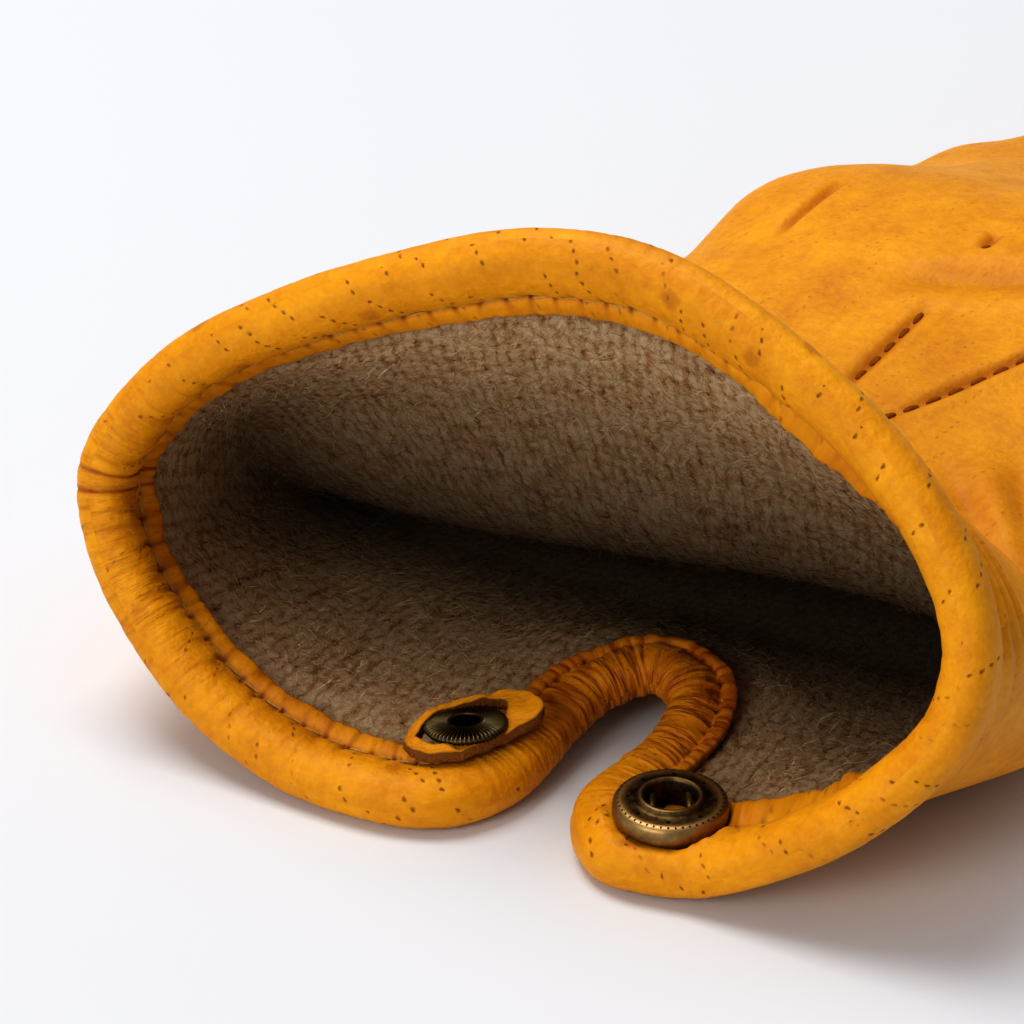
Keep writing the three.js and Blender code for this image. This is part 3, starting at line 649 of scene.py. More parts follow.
def woven(bm, rows, uv, around=True, along=False, **marks):
    """A grid of faces over rows of points, closed around or along where it says so. Each mark is
    a grid of numbers that the material reads, such as how gathered the leather is."""
    rows = closing(rows, around, along)
    marks = {name: closing(values, around, along) for name, values in marks.items()}
    for name in marks:
        if not bm.verts.layers.float.get(name):
            bm.verts.layers.float.new(name)
    tall, wide = rows.shape[:2]
    grid = bmesh.ops.create_grid(bm, x_segments=wide - 1, y_segments=tall - 1, size=1)["verts"]
    layer = bm.loops.layers.uv.get("skin") or bm.loops.layers.uv.new("skin")
    spots = {}
    for vert in grid:
        column = round((vert.co.x + 1) / 2 * (wide - 1))
        row = round((vert.co.y + 1) / 2 * (tall - 1))
        spots[vert] = (row, column)
    for face in {face for vert in grid for face in vert.link_faces}:
        for loop in face.loops:
            loop[layer].uv = uv[spots[loop.vert]]
    for vert, spot in spots.items():
        vert.co = rows[spot]
        for name, values in marks.items():
            vert[bm.verts.layers.float[name]] = values[spot]
    return grid


def finished(name, bm, material, *nodes, slot="leather", weld=True):
    """Turns a bmesh in the glove's millimetres into a piece that rides on the root."""
    if weld:
        bmesh.ops.remove_doubles(bm, verts=bm.verts, dist=0.001)
        bmesh.ops.recalc_face_normals(bm, faces=bm.faces)
    bmesh.ops.scale(bm, vec=(0.001,) * 3, verts=bm.verts)
    bmesh.ops.translate(bm, vec=Vector(SHIFT / 1000), verts=bm.verts)
    for face in bm.faces:
        face.smooth = True
    mesh = bpy.data.meshes.new(name)
    bm.to_mesh(mesh)
    bm.free()
    mesh.materials.append(material)
    piece = bpy.data.objects.new(name, mesh)
    scene.collection.objects.link(piece)
    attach(piece, "root")
    if nodes:
        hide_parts(*nodes)
    return piece


profile = through(ROLL, True, 3)
profile_way = np.linalg.norm(np.diff(np.vstack([profile, profile[:1]]), axis=0), axis=1)
profile_way = np.concatenate([[0], np.cumsum(profile_way)])
groove_way = profile_way[np.argmin(np.linalg.norm(profile - GROOVE, axis=1))]
gather = GATHERED_ELSEWHERE + summed(GATHERS, "much")
strip_wider = summed(LOOSE_STRIP, "wider")
strip_stands = summed(LOOSE_STRIP, "stands")
near_vent = along_hem(on_hem(VENT[5]), VENT_REACH)
slim = 1 - SLIM_AT_VENT * near_vent
stitch_count = round(hem_length / STITCH_PITCH)
stitch_pitch = hem_length / stitch_count
left_tip = on_hem(LEFT_TIP)
limit = np.where(bend > 0, TIGHTEST / np.maximum(bend, 1e-4), 99)
from_patch = on_patch.inverted()
hem_rows = np.zeros((HEM_STATIONS, len(profile), 3))
marks = {name: np.zeros(hem_rows.shape[:2]) for name in ("deep", "raw", "pored", "pleated", "pricked")}
noise.seed_set(7)
for i in range(HEM_STATIONS):
    s = travelled[i]
    gathered = min(gather[i], 1)
    apart = FOLDS["apart"] - FOLDS["closer_at_vent"] * near_vent[i]
    hole = round(s / stitch_pitch)
    pull = PUCKER["pull"] + PUCKER["uneven"] * noise.noise((hole * 3.7, 0.2, 5.5))
    for j, (over, rise) in enumerate(profile):
        v = profile_way[j]
        from_groove = abs(v - groove_way)
        on_strip = over > STRIP_STARTS
        # A pucker runs out from each needle hole, bending a little on its way
        lean = PUCKER["wanders"] * noise.noise((hole * 1.3, from_groove / 3, 2.2)) * min(from_groove, 3)
        from_hole = abs(s - hole * stitch_pitch + lean)
        pucker = bell(from_hole, PUCKER["wide"] + PUCKER["widens"] * from_groove) * pull
        pucker *= math.exp(-from_groove / (PUCKER["runs"] + PUCKER["runs_more"] * gathered))
        fold = noise.noise((s / apart, v / FOLDS["long"], 0.5))
        fold += 0.4 * noise.noise((s / apart * 2.1, v / 5, 3.7))
        crease_line = bell(noise.noise((s / apart * 0.8, v / 11, 6.1)), FOLDS["crease_thin"])
        # The outside is stretched smooth, but for the vent, and the folds lie toward the stitches
        loose = FOLDS["stretched"] + (1 - FOLDS["stretched"]) * bell(from_groove, FOLDS["near_groove"])
        loose += FOLDS["loose_at_vent"] * near_vent[i]
        folded = (FOLDS["much"] + FOLDS["gathered"] * gather[i]) * fold
        folded -= (FOLDS["crease"] + FOLDS["crease_gathered"] * gather[i]) * crease_line
        puff = 1 + FOLDS["swell"] * noise.noise((s / 9, v / 12, 8.1)) + loose * folded
        dimple = (PUCKER["deep"] + PUCKER["deeper"] * gathered) * pucker
        puff -= dimple * (PUCKER["on_strip"] if on_strip else 1)
        for seam in SEAMS_FROM_TIP:
            near_seam = bell(s - left_tip - seam, SEAM["wide"])
            puff -= SEAM["deep"] * near_seam
            marks["deep"][i, j] += SEAM["tint"] * near_seam
        puff *= slim[i]
        across = over * puff
        if on_strip:
            # The turned-in strip is cut by hand, stands up where it is loose, and crumples
            ragged_cut = 0.4 * noise.noise((s / 3.6, 1.0, 0.3)) + 0.1 * noise.noise((s / 0.6, 4.0, 0.3))
            free = smooth(over, STRIP_STARTS, RAW_EDGE)
            across = over * slim[i] + (strip_wider[i] + ragged_cut) * free - PUCKER["deep"] * pucker
            crumple = 0.6 * noise.noise((s / 3.1, over / 2, 7.7)) + 0.25 * noise.noise((s / 1.3, over, 7.7))
            rise -= strip_stands[i] * free * (1 + 0.3 * crumple) + min(strip_stands[i], 0.6) * crumple
        hem_rows[i, j] = pressed(
            hem_line[i] + inward[i] * min(across, limit[i]) + out[i] * rise * puff
        )
        # The mark deep: shade painted on the strip, in each pucker, round the vent and in the creases
        marks["deep"][i, j] += STRIP_SHADE * on_strip + PUCKER["tint"] * pucker
        marks["deep"][i, j] += VENT_SHADE * near_vent[i] ** 2 + FOLDS["tint"] * gathered * crease_line * loose
        marks["raw"][i, j] = 0.55 * smooth(over, RAW_EDGE, RAW_EDGE + 0.2)
        marks["pored"][i, j] = (1 - 0.55 * gathered) * (0.5 if on_strip else 1)
        # Pleated creases go into the relief, with shade painted into them
        marks["pleated"][i, j] = gathered ** 2.2 * (0.5 if on_strip else 1)
        at_hole = bell(from_hole, NEEDLE_HOLE["along"])
        marks["pricked"][i, j] = at_hole * bell(from_groove, NEEDLE_HOLE["across"])
floors = [[above_snap(*point[:2]) for point in row] for row in hem_rows]
hem_rows[..., 2] = np.maximum(hem_rows[..., 2], floors)
uv = np.zeros((HEM_STATIONS + 1, len(profile) + 1, 2))
uv[..., 0] = (np.arange(HEM_STATIONS + 1) * hem_step)[:, None]
uv[..., 1] = profile_way[None, :]
bm = bmesh.new()
woven(bm, hem_rows, uv, along=True, **marks)
finished("cuff_hem_roll", bm, leather, "cuff_hem")

# Hem stitches
# One row of lockstitch in waxed linen thread, pulled down into the groove of the hem, each
# stitch going into a dark needle hole at its ends. The wax gives it a dull straw colour.
STITCH_LONG = 1.05
STITCH_THICK = 0.17
STITCH_SLANT = 0.09
SUNK_AT_VENT = 0.3
# How many plies of the thread cross in a metre
LINEN_TWIST = 2500


def waxed_thread(name, twist, shaded_hollows, crowns, roughness, shine):
    """Twisted thread, with shade painted into the hollows between its plies, darker than on their crowns."""
    material, tree, shader = new_material(name, Roughness=roughness)
    shader.inputs["Specular IOR Level"].default_value = shine
    place = add(tree, "ShaderNodeTexCoord").outputs["Object"]
    plies = add(tree, "ShaderNodeTexNoise", {"Vector": place, "Scale": twist, "Detail": 2.0})
    tone = add(tree, "ShaderNodeValToRGB", {"Fac": plies.outputs["Fac"]})
    tone.color_ramp.elements[0].color = linear(shaded_hollows)
    tone.color_ramp.elements[1].color = linear(crowns)
    tree.links.new(tone.outputs[0], shader.inputs["Base Color"])
    return material


thread = waxed_thread("waxed_linen_thread", LINEN_TWIST, "#9A6A20", "#E6C070", 0.65, 0.5)


def stitch_at(bm, point, ahead, up, long, thick):
    """One stitch of thread, as a small capsule lying along a line."""
    side = Vector(ahead).cross(Vector(up)).normalized()
    turn = Matrix((Vector(ahead).normalized(), side, Vector(up))).transposed().to_4x4()
    size = Matrix.Diagonal((long, thick, thick * 0.8, 1))
    bmesh.ops.create_uvsphere(
        bm, u_segments=8, v_segments=6, radius=1,
        matrix=Matrix.Translation(Vector(point)) @ turn @ size @ Matrix.Rotation(math.pi / 2, 4, "Y"),
    )


bm = bmesh.new()
bm.loops.layers.uv.new("skin")
for k in range(stitch_count):
    i = round((k + 0.5) * stitch_pitch / hem_step) % HEM_STATIONS
    if limit[i] < GROOVE[0] * slim[i]:
        continue
    sunk = SUNK_AT_VENT * near_vent[i]
    at = hem_line[i] + inward[i] * GROOVE[0] * slim[i] + out[i] * (GROOVE[1] * slim[i] + sunk)
    stitch_at(bm, at, unit(ahead[i] + inward[i] * STITCH_SLANT), -out[i], STITCH_LONG, STITCH_THICK)
finished("hem_stitches", bm, thread, weld=False)

# Trank
# The back and palm are one sheet of hide with the fingers' faces, folded over and closed by a
# side seam. The body is lofted, blended into one skin and opened at the mouth and the vent,
# then the hide gets its slack, its knuckles, its creases and the three tucks on the back.
# Each finger's root, along the knuckles and back from them, which way it points, clockwise, and
# half its width, its length and its height
FINGERS = [
    {"name": "little", "along": -29.2, "back": 8, "turn": 18, "half": 9.1, "length": 66, "top": 13.6},
    {"name": "ring", "along": -9.8, "back": 0, "turn": 22.5, "half": 9.7, "length": 76, "top": 14.3},
    {"name": "middle", "along": 10, "back": 0, "turn": 25.5, "half": 9.8, "length": 83, "top": 14.5},
    {"name": "index", "along": 29.4, "back": 1.5, "turn": 29.5, "half": 9.6, "length": 73, "top": 14},
]
FINGER_TAPER = 0.86
FINGER_ROOT = 12
# The tip is a little longer than a half circle. Its end is at a height, off the floor and blunt
TIP_ROUNDING = 1.15
TIP_ANGLES = (20, 40, 60, 75, 86)
TIP_HEIGHT, TIP_LIFTS, TIP_END = 5, 2.4, 0.4
# The widest place of a finger or thumb is at this share of its height
SIDE_SHARE = 0.48
# How far out from the wall's middle surface the leather's outside lies
LEATHER_OUT = 1.2
# How fine the bodies are blended, and how many times the skin is smoothed after that
SKIN_VOXEL, SKIN_ROUNDS = 1.5, 3
SKIN_THICK = 1.2
SKIN_PORED = 0.3
# The skin starts this far behind the hem's line. The loft runs on past the mouth to be cut there
SKIN_STARTS = 1.6
MOUTH_SPARE = 7
# Heights of the two seams that hold a fourchette
FOURCHETTE_LOW = 3.4
FOURCHETTE_HIGH = 9.8
# All gaps between fingers lie ahead of this
FINGERS_FROM = 105
# Where the back stands over the plain loft, or sinks below it
SWELLS = [
    {"at": (-20.5, 100), "rise": 1.9, "reach": 8.5},
    {"at": (-12, 121), "rise": -1.8, "reach": 8},
    {"at": (-6.5, 143), "rise": -2.2, "reach": 9},
    {"at": (30, 70), "rise": 0.8, "reach": 10},
    {"at": (22, 96), "rise": 0.9, "reach": 9},
]
# The three tucks, and a lone stitch beyond the second
TUCKS = [
    {"start": (-13.6, 85.5), "end": (-10.6, 100.5), "deep": 0.6, "sewn": False},
    {"start": (6.6, 56), "end": (9.3, 79), "deep": 0.5, "sewn": True},
    {"start": (10.2, 88), "end": (10.7, 92), "deep": 0.6, "sewn": True},
    {"start": (11.5, 52.5), "end": (31.6, 87), "deep": 0.5, "sewn": True},
]
# The valley of a tuck, with a low ridge on its sides that is a share of the valley's depth, and
# its tint, shade painted into the valley
TUCK = {"wide": 0.55, "ridge_off": 1.6, "ridge_wide": 0.9, "ridge": 0.55, "tint": 0.6, "tint_wide": 0.8}
# Soft creases: one over the back, a fan of three from the thumb's side, and one opposite
CREASES = [
    {"start": (1, 80), "end": (40, 91), "deep": 0.75, "wide": 2.0},
    {"start": (37, 35), "end": (20, 53), "deep": 0.8, "wide": 1.5},
    {"start": (38, 36), "end": (27, 59), "deep": 0.8, "wide": 1.5},
    {"start": (40, 37), "end": (35, 62), "deep": 0.7, "wide": 1.6},
    {"start": (-34, 60), "end": (-14, 54), "deep": 0.5, "wide": 2.2},
]
# Each crease's ridge beside its valley, and its tint, shade painted into the valley
CREASE = {"ridge_off": 2, "ridge_wide": 2, "ridge": 0.5, "tint": 0.25}
# Folds that follow the rim on the thumb side: how far behind it, and how deep
RIM_FOLDS = [(4.4, 0.45), (6.4, 0.4), (8.6, 0.4)]
# The shape of each rim fold, and its tint, shade painted into it
RIM_FOLD = {"wide": 0.55, "ridge_off": 1.0, "ridge_wide": 0.6, "ridge": 0.5, "tint": 0.4, "wanders": 1.2}
# Creases over a finger's joints: how far along from the joint, and how deep
JOINTS_AT = (0.36, 0.66)
JOINT_CREASES = [(-2.4, 0.35), (0, 0.5), (2.6, 0.3)]
JOINT_CREASE_WIDE, JOINT_CREASE_BOW = 1.1, 0.015
# Slack in the hide over long and short stretches, and the share of it where it lies flat
SLACK_LONG, SLACK_SHORT = 0.55, 0.2
FLAT_BELOW, SLACK_WHERE_FLAT = 3, 0.3
# Where the skin gets finer faces: near the lines on the back, and behind the rim
FINER_NEAR = (6.5, 3.5)
BACK_ABOVE = 9
FINER_RIM = {"right_of": 22, "before": 26, "above": 10}


def finger_place(finger):
    """A finger's root, the way it points and the way to its right."""
    heading = math.radians(finger["turn"])
    root = KNUCKLE_MIDDLE + ACROSS * finger["along"] - FORWARD * finger["back"]
    return (
        root,
        np.array([math.sin(heading), math.cos(heading), 0]),
        np.array([math.cos(heading), -math.sin(heading), 0]),
    )


def finger_rows(finger):
    """Sections of a finger from inside the hand to its rounded tip."""
    root, forward, _ = finger_place(finger)
    length, tip = finger["length"], finger["half"] * TIP_ROUNDING
    places = [(-FINGER_ROOT, 1), (0, 1), ((length - tip) * 0.5, 1), (length - tip, 1)]
    for angle in TIP_ANGLES:
        turn = math.radians(angle)
        places.append((length - tip + tip * math.sin(turn), math.cos(turn)))
    rows = []
    for distance, size in places:
        taper = 1 + (FINGER_TAPER - 1) * max(distance, 0) / length
        x, y, _ = root + forward * distance
        top = (finger["top"] * taper - TIP_HEIGHT) * size + TIP_HEIGHT
        half = max(finger["half"] * taper * size, TIP_END)
        side, floor = SIDE_SHARE * top, (1 - size) * TIP_LIFTS
        rows.append(section(x, y, finger["turn"], half, side, top, floor, count=64))
    return through(rows, False, 6)


def closed_body(bm, rows):
    """A lofted tube with both its ends closed."""
    verts = woven(bm, rows, np.zeros((len(rows), rows.shape[1] + 1, 2)))
    bmesh.ops.remove_doubles(bm, verts=verts, dist=0.001)
    rims = [edge for edge in bm.edges if edge.is_boundary]
    bmesh.ops.holes_fill(bm, edges=rims, sides=0)


def blended(bm, name, voxel, rounds):
    """Closed bodies that overlap, made one even skin."""
    bmesh.ops.recalc_face_normals(bm, faces=bm.faces)
    mesh = bpy.data.meshes.new(name)
    bm.to_mesh(mesh)
    bm.free()
    body = bpy.data.objects.new(name, mesh)
    scene.collection.objects.link(body)
    remesh = body.modifiers.new("blend", "REMESH")
    remesh.mode = "VOXEL"
    remesh.voxel_size = voxel
    made = bpy.data.meshes.new_from_object(body.evaluated_get(bpy.context.evaluated_depsgraph_get()))
    bpy.data.objects.remove(body)
    bm = bmesh.new()
    bm.from_mesh(made)
    for _ in range(rounds):
        bmesh.ops.smooth_vert(
            bm, verts=bm.verts, factor=0.5, use_axis_x=True, use_axis_y=True, use_axis_z=True,
        )
    bmesh.ops.recalc_face_normals(bm, faces=bm.faces)
    bm.normal_update()
    return bm


def off_line(points, line):
    """How far points lie from a line on the back, and how far along it, from nought to one."""
    start, end = np.array(line["start"], float), np.array(line["end"], float)
    span = end - start
    share = np.clip((points[:, :2] - start) @ span / (span @ span), 0, 1)
    return np.linalg.norm(points[:, :2] - start - share[:, None] * span, axis=1), share


def box_mapped(bm):
    """A UV layer in millimetres, seen along each face's main direction."""
    layer = bm.loops.layers.uv.get("skin") or bm.loops.layers.uv.new("skin")
    for face in bm.faces:
        normal = face.normal
        for loop in face.loops:
            x, y, z = loop.vert.co
            if abs(normal.z) > 0.5:
                loop[layer].uv = (x, y)
            elif abs(normal.x) > abs(normal.y):
                loop[layer].uv = (y, z)
            else:
                loop[layer].uv = (x, z)


def opened(bm, starts):
    """Takes away all faces that lie less than this far behind the hem's line."""
    cut = [face for face in bm.faces if over_wall(face.calc_center_median()) < starts]
    bmesh.ops.delete(bm, geom=cut, context="FACES")


skin_rows = hand + hand_normals * LEATHER_OUT
ahead_of_mouth = skin_rows[0] + unit(hand[0] - hand[1]) * MOUTH_SPARE
skin_rows = np.concatenate([ahead_of_mouth[None], skin_rows])
skin_rows[..., 2] = np.maximum(skin_rows[..., 2], 0)
bm = bmesh.new()
closed_body(bm, skin_rows)
for finger in FINGERS:
    closed_body(bm, finger_rows(finger))
bm = blended(bm, "body", SKIN_VOXEL, SKIN_ROUNDS)
# Finer faces where there are tucks, creases and rim folds, then again but for the creases
for reach, lines in zip(FINER_NEAR, (TUCKS + CREASES, TUCKS)):
    points = np.array([vert.co for vert in bm.verts])
    near = (points[:, 0] > FINER_RIM["right_of"]) & (points[:, 2] > FINER_RIM["above"])
    near &= points[:, 1] < FINER_RIM["before"]
    for line in lines:
        near |= (off_line(points, line)[0] < reach) & (points[:, 2] > BACK_ABOVE)
    bm.verts.index_update()
    split = [edge for edge in bm.edges if near[edge.verts[0].index] and near[edge.verts[1].index]]
    bmesh.ops.subdivide_edges(bm, edges=split, cuts=1, use_grid_fill=True)
# Edges where the fourchettes are seamed in
for height in (FOURCHETTE_LOW, FOURCHETTE_HIGH):
    between = [face for face in bm.faces if face.calc_center_median().y > FINGERS_FROM]
    geometry = between + [item for face in between for item in (*face.edges, *face.verts)]
    bmesh.ops.bisect_plane(
        bm, geom=list(dict.fromkeys(geometry)), dist=0.01, plane_co=(0, 0, height), plane_no=(0, 0, 1),
    )
bm.normal_update()
points = np.array([vert.co for vert in bm.verts])
normals = np.array([vert.normal for vert in bm.verts])
upper = smooth(normals[:, 2], 0.1, 0.5)
lift = np.zeros(len(points))
# Shade painted into the tucks, creases and rim folds, for the material's mark deep
tint = np.zeros(len(points))
for swell in SWELLS:
    off = np.linalg.norm(points[:, :2] - swell["at"], axis=1)
    lift += swell["rise"] * bell(off, swell["reach"]) * upper
for tuck in TUCKS:
    off, share = off_line(points, tuck)
    ends = smooth(share, 0, 0.3) * (1 - smooth(share, 0.7, 1))
    ridge = TUCK["ridge"] * bell(off - TUCK["ridge_off"], TUCK["ridge_wide"])
    lift += tuck["deep"] * (ridge - bell(off, TUCK["wide"])) * ends * upper
    tint += TUCK["tint"] * bell(off, TUCK["tint_wide"]) * ends
for crease in CREASES:
    off, share = off_line(points, crease)
    ends = smooth(share, 0, 0.2) * (1 - smooth(share, 0.6, 1))
    valley = bell(off, crease["wide"])
    ridge = CREASE["ridge"] * bell(off - CREASE["ridge_off"] * crease["wide"], CREASE["ridge_wide"])
    lift += crease["deep"] * (ridge - valley) * ends * upper
    tint += CREASE["tint"] * valley * ends
on_thumb_side = smooth(points[:, 0], 26, 36) * smooth(points[:, 2], 20, 32)
for k in np.nonzero(on_thumb_side)[0]:
    x, y, z = points[k]
    behind = over_wall(points[k]) + RIM_FOLD["wanders"] * noise.noise((x / 7, y / 7, z / 7))
    for place, deep in RIM_FOLDS:
        fold = bell(behind - place, RIM_FOLD["wide"]) * on_thumb_side[k]
        ridge = bell(behind - place - RIM_FOLD["ridge_off"], RIM_FOLD["ridge_wide"]) * on_thumb_side[k]
        lift[k] += deep * (RIM_FOLD["ridge"] * ridge - fold)
        tint[k] += RIM_FOLD["tint"] * fold
for finger in FINGERS:
    root, forward, side = finger_place(finger)
    across, distance = (points - root) @ side, (points - root) @ forward
    on_top = (np.abs(across) < finger["half"] + 1) * smooth(normals[:, 2], -0.3, 0.4)
    for share in JOINTS_AT:
        for step, deep in JOINT_CREASES:
            bow = JOINT_CREASE_BOW * across**2 * (1 if step >= 0 else -1)
            off = distance - finger["length"] * share - step - bow
            lift -= deep * bell(off, JOINT_CREASE_WIDE) * on_top
for k, (x, y, z) in enumerate(points):
    slack = SLACK_LONG * noise.noise((x / 15, y / 22, z / 12))
    slack += SLACK_SHORT * noise.noise((x / 5, y / 7, z / 5 + 3))
    lift[k] += slack * smooth(y, 8, 20) * (SLACK_WHERE_FLAT if z < FLAT_BELOW else 1)
# The tint goes to the mark deep as painted shade, on the upper faces only
painted_shade_layer = bm.verts.layers.float.new("deep")
pored_layer = bm.verts.layers.float.new("pored")
for k, vert in enumerate(bm.verts):
    vert.co += vert.normal * lift[k]
    vert.co.z = max(vert.co.z, above_snap(vert.co.x, vert.co.y))
    vert[painted_shade_layer] = tint[k] * upper[k]
    vert[pored_layer] = SKIN_PORED
opened(bm, SKIN_STARTS)
# The loft's end, cut off at the mouth, goes: only what hangs together with the fingers stays
kept = {max(bm.verts, key=lambda vert: vert.co.y)}
newest = set(kept)
while newest:
    newest = {edge.other_vert(vert) for vert in newest for edge in vert.link_edges} - kept
    kept |= newest
bmesh.ops.delete(bm, geom=[vert for vert in bm.verts if vert not in kept], context="VERTS")
bm.normal_update()
box_mapped(bm)
skin_tree = BVHTree.FromBMesh(bm)


def walled(piece):
    """Gives a skin the thickness of its hide."""
    wall = piece.modifiers.new("wall", "SOLIDIFY")
    wall.thickness = SKIN_THICK / 1000
    wall.offset = -1


def gap_faced(face):
    """Which gap between fingers a face looks into, if any, counted from the little finger."""
    place, normal = np.array(face.calc_center_median()), np.array(face.normal)
    if not FOURCHETTE_LOW < place[2] < FOURCHETTE_HIGH:
        return None
    for k, finger in enumerate(FINGERS):
        root, forward, side = finger_place(finger)
        across, distance = (place - root) @ side, (place - root) @ forward
        if abs(across) < finger["half"] + 1 and -4 < distance < finger["length"] - 3:
            facing = normal @ side
            if facing > 0.5 and across > 0 and k < len(FINGERS) - 1:
                return k
            if facing < -0.5 and across < 0 and k > 0:
                return k - 1
    return None


gaps = [gap_faced(face) for face in bm.faces]


def sheet_facing(gap):
    """A copy of the skin, with only the faces that look into this gap, or into none."""
    sheet = bm.copy()
    other = [face for face, faced in zip(sheet.faces, gaps) if faced != gap]
    bmesh.ops.delete(sheet, geom=other, context="FACES")
    return sheet


walled(finished("trank_hide", sheet_facing(None), leather, "trank_back", "trank_palm", weld=False))

# Fourchettes
# The strips let in between neighbouring fingers are the same hide, seamed to the trank's
# finger faces above and below.
for gap, (finger, neighbour) in enumerate(zip(FINGERS, FINGERS[1:])):
    pair = finger["name"] + "_" + neighbour["name"]
    sheet = sheet_facing(gap)
    walled(finished("fourchette_hide_" + pair, sheet, leather, "fourchette_" + pair, weld=False))

# Thumb
# The thumb is a tube of the same hide, set into the side of the hand and seamed round its root.
# It is blended into one skin like the hand, and its part inside the hand is cut away.
THUMB = [
    {"x": 37, "y": 60, "turn": 34, "half": 17, "top": 15},
    {"x": 51, "y": 79, "turn": 37, "half": 15, "top": 18.5},
    {"x": 65, "y": 97, "turn": 38, "half": 12.6, "top": 17.5},
    {"x": 77, "y": 113, "turn": 36, "half": 11.4, "top": 15.5},
    {"x": 86, "y": 126.5, "turn": 33, "half": 10, "top": 13.5},
    {"x": 90, "y": 133, "turn": 31, "half": 7.6, "top": 11.5},
    {"x": 92, "y": 136.5, "turn": 30, "half": 3.6, "top": 8.8},
]
THUMB_INSIDE = 1.6
THUMB_VOXEL, THUMB_ROUNDS = 1.2, 4
THUMB_POINTS = math.radians(36)
# A point that each crease over the thumb's joint runs through
THUMB_CREASES = [(79, 114.5), (81.5, 118)]
THUMB_CREASE_DEEP, THUMB_CREASE_WIDE = 0.35, 1.0
THUMB_PORED = 0.35
thumb_rows = [section(**row, side=SIDE_SHARE * row["top"], floor=0, count=96) for row in THUMB]
bm = bmesh.new()
closed_body(bm, through(thumb_rows, False, 8))
bm = blended(bm, "thumb_body", THUMB_VOXEL, THUMB_ROUNDS)
thumb_forward = np.array([math.sin(THUMB_POINTS), math.cos(THUMB_POINTS), 0])
pored_layer = bm.verts.layers.float.new("pored")
for vert in bm.verts:
    x, y, z = vert.co
    slack = 0.4 * noise.noise((x / 13, y / 17, z / 11)) + 0.15 * noise.noise((x / 4, y / 6, z / 5))
    for crease in THUMB_CREASES:
        off = (x - crease[0]) * thumb_forward[0] + (y - crease[1]) * thumb_forward[1]
        crease_here = THUMB_CREASE_DEEP * bell(off, THUMB_CREASE_WIDE)
        slack -= crease_here * smooth(vert.normal.z, -0.3, 0.4)
    vert.co += vert.normal * slack * (SLACK_WHERE_FLAT if z < FLAT_BELOW else 1)
    vert.co.z = max(vert.co.z, 0.01)
    vert[pored_layer] = THUMB_PORED


def depth_in_hand(point):
    """How deep a point lies below the trank's skin, or less than nought outside it."""
    found, normal, _, _ = skin_tree.find_nearest(Vector(point))
    return float((found - Vector(point)).dot(normal))


# What lies this deep inside the hand is left out
inner = [face for face in bm.faces if depth_in_hand(face.calc_center_median()) > THUMB_INSIDE]
bmesh.ops.delete(bm, geom=inner, context="FACES")
bm.normal_update()
box_mapped(bm)
thumb_tree = BVHTree.FromBMesh(bm)
thumb_points = [tuple(vert.co) for vert in bm.verts]
walled(finished("thumb_hide", bm, leather, "thumb", weld=False))

# Hand seams
# Hand-sewn stitches: dark waxed thread down the tucks of the back, dull and brown, and thread in
# the leather's own colour round the fingers, the thumb and the side of the hand.
DARK_TWIST = 2200
TUCK_STITCH = {"pitch": 2.7, "long": 1.0, "thick": 0.42, "sunk": -0.05}
HAND_STITCH = {"pitch": 3.2, "long": 0.95, "thick": 0.24, "sunk": 0.05}
FINGER_SEAM_ENDS = 0.93
BESIDE_STRIP = 0.7
# Stitches drop onto the back from this height. Those of other seams reach this far for the hide
OVER_BACK = 60
FURTHEST = 6
# The thumb's seam goes where its skin and the hand's are this near each other, over the palm
CROSSING_NEAR, CROSSING_ABOVE = 0.6, 5
THUMB_SEAM_STEP = 3.0
dark_thread = waxed_thread("dark_waxed_thread", DARK_TWIST, "#743A04", "#A86210", 0.75, 0.15)


def sewn(bm, line, hide, pitch, long, thick, sunk, from_above=False):
    """Stitches at a pitch along a line, laid on the nearest hide or on the hide straight below."""
    line = np.asarray(line, float)
    total = float(np.linalg.norm(np.diff(line, axis=0), axis=1).sum())
    spots = evenly(line, max(int(total / pitch), 2))
    for k in range(len(spots) - 1):
        spot = Vector((spots[k] + spots[k + 1]) / 2)
        if from_above:
            found, normal, _, distance = hide.ray_cast(spot, Vector((0, 0, -1)))
        else:
            found, normal, _, distance = hide.find_nearest(spot)
        if found is None or (distance > FURTHEST and not from_above):
            continue
        way = Vector(spots[k + 1] - spots[k])
        way -= normal * way.dot(normal)
        stitch_at(bm, found - normal * sunk, way.normalized(), normal, long, thick)


bm = bmesh.new()
bm.loops.layers.uv.new("skin")
for tuck in TUCKS:
    if tuck["sewn"]:
        line = [(*tuck["start"], OVER_BACK), (*tuck["end"], OVER_BACK)]
        sewn(bm, line, skin_tree, **TUCK_STITCH, from_above=True)
finished("tuck_stitches", bm, dark_thread, weld=False)
bm = bmesh.new()
bm.loops.layers.uv.new("skin")
for k, finger in enumerate(FINGERS):
    root, forward, side = finger_place(finger)
    for facing in (-1, 1):
        if not 0 <= k + facing < len(FINGERS):
            continue
        for height in (FOURCHETTE_LOW - BESIDE_STRIP, FOURCHETTE_HIGH + BESIDE_STRIP):
            line = []
            for share in np.linspace(0.0, FINGER_SEAM_ENDS, 24):
                half = finger["half"] * (1 + (FINGER_TAPER - 1) * share)
                at = root + forward * finger["length"] * share + side * facing * half
                line.append((at[0], at[1], height))
            sewn(bm, line, skin_tree, **HAND_STITCH)
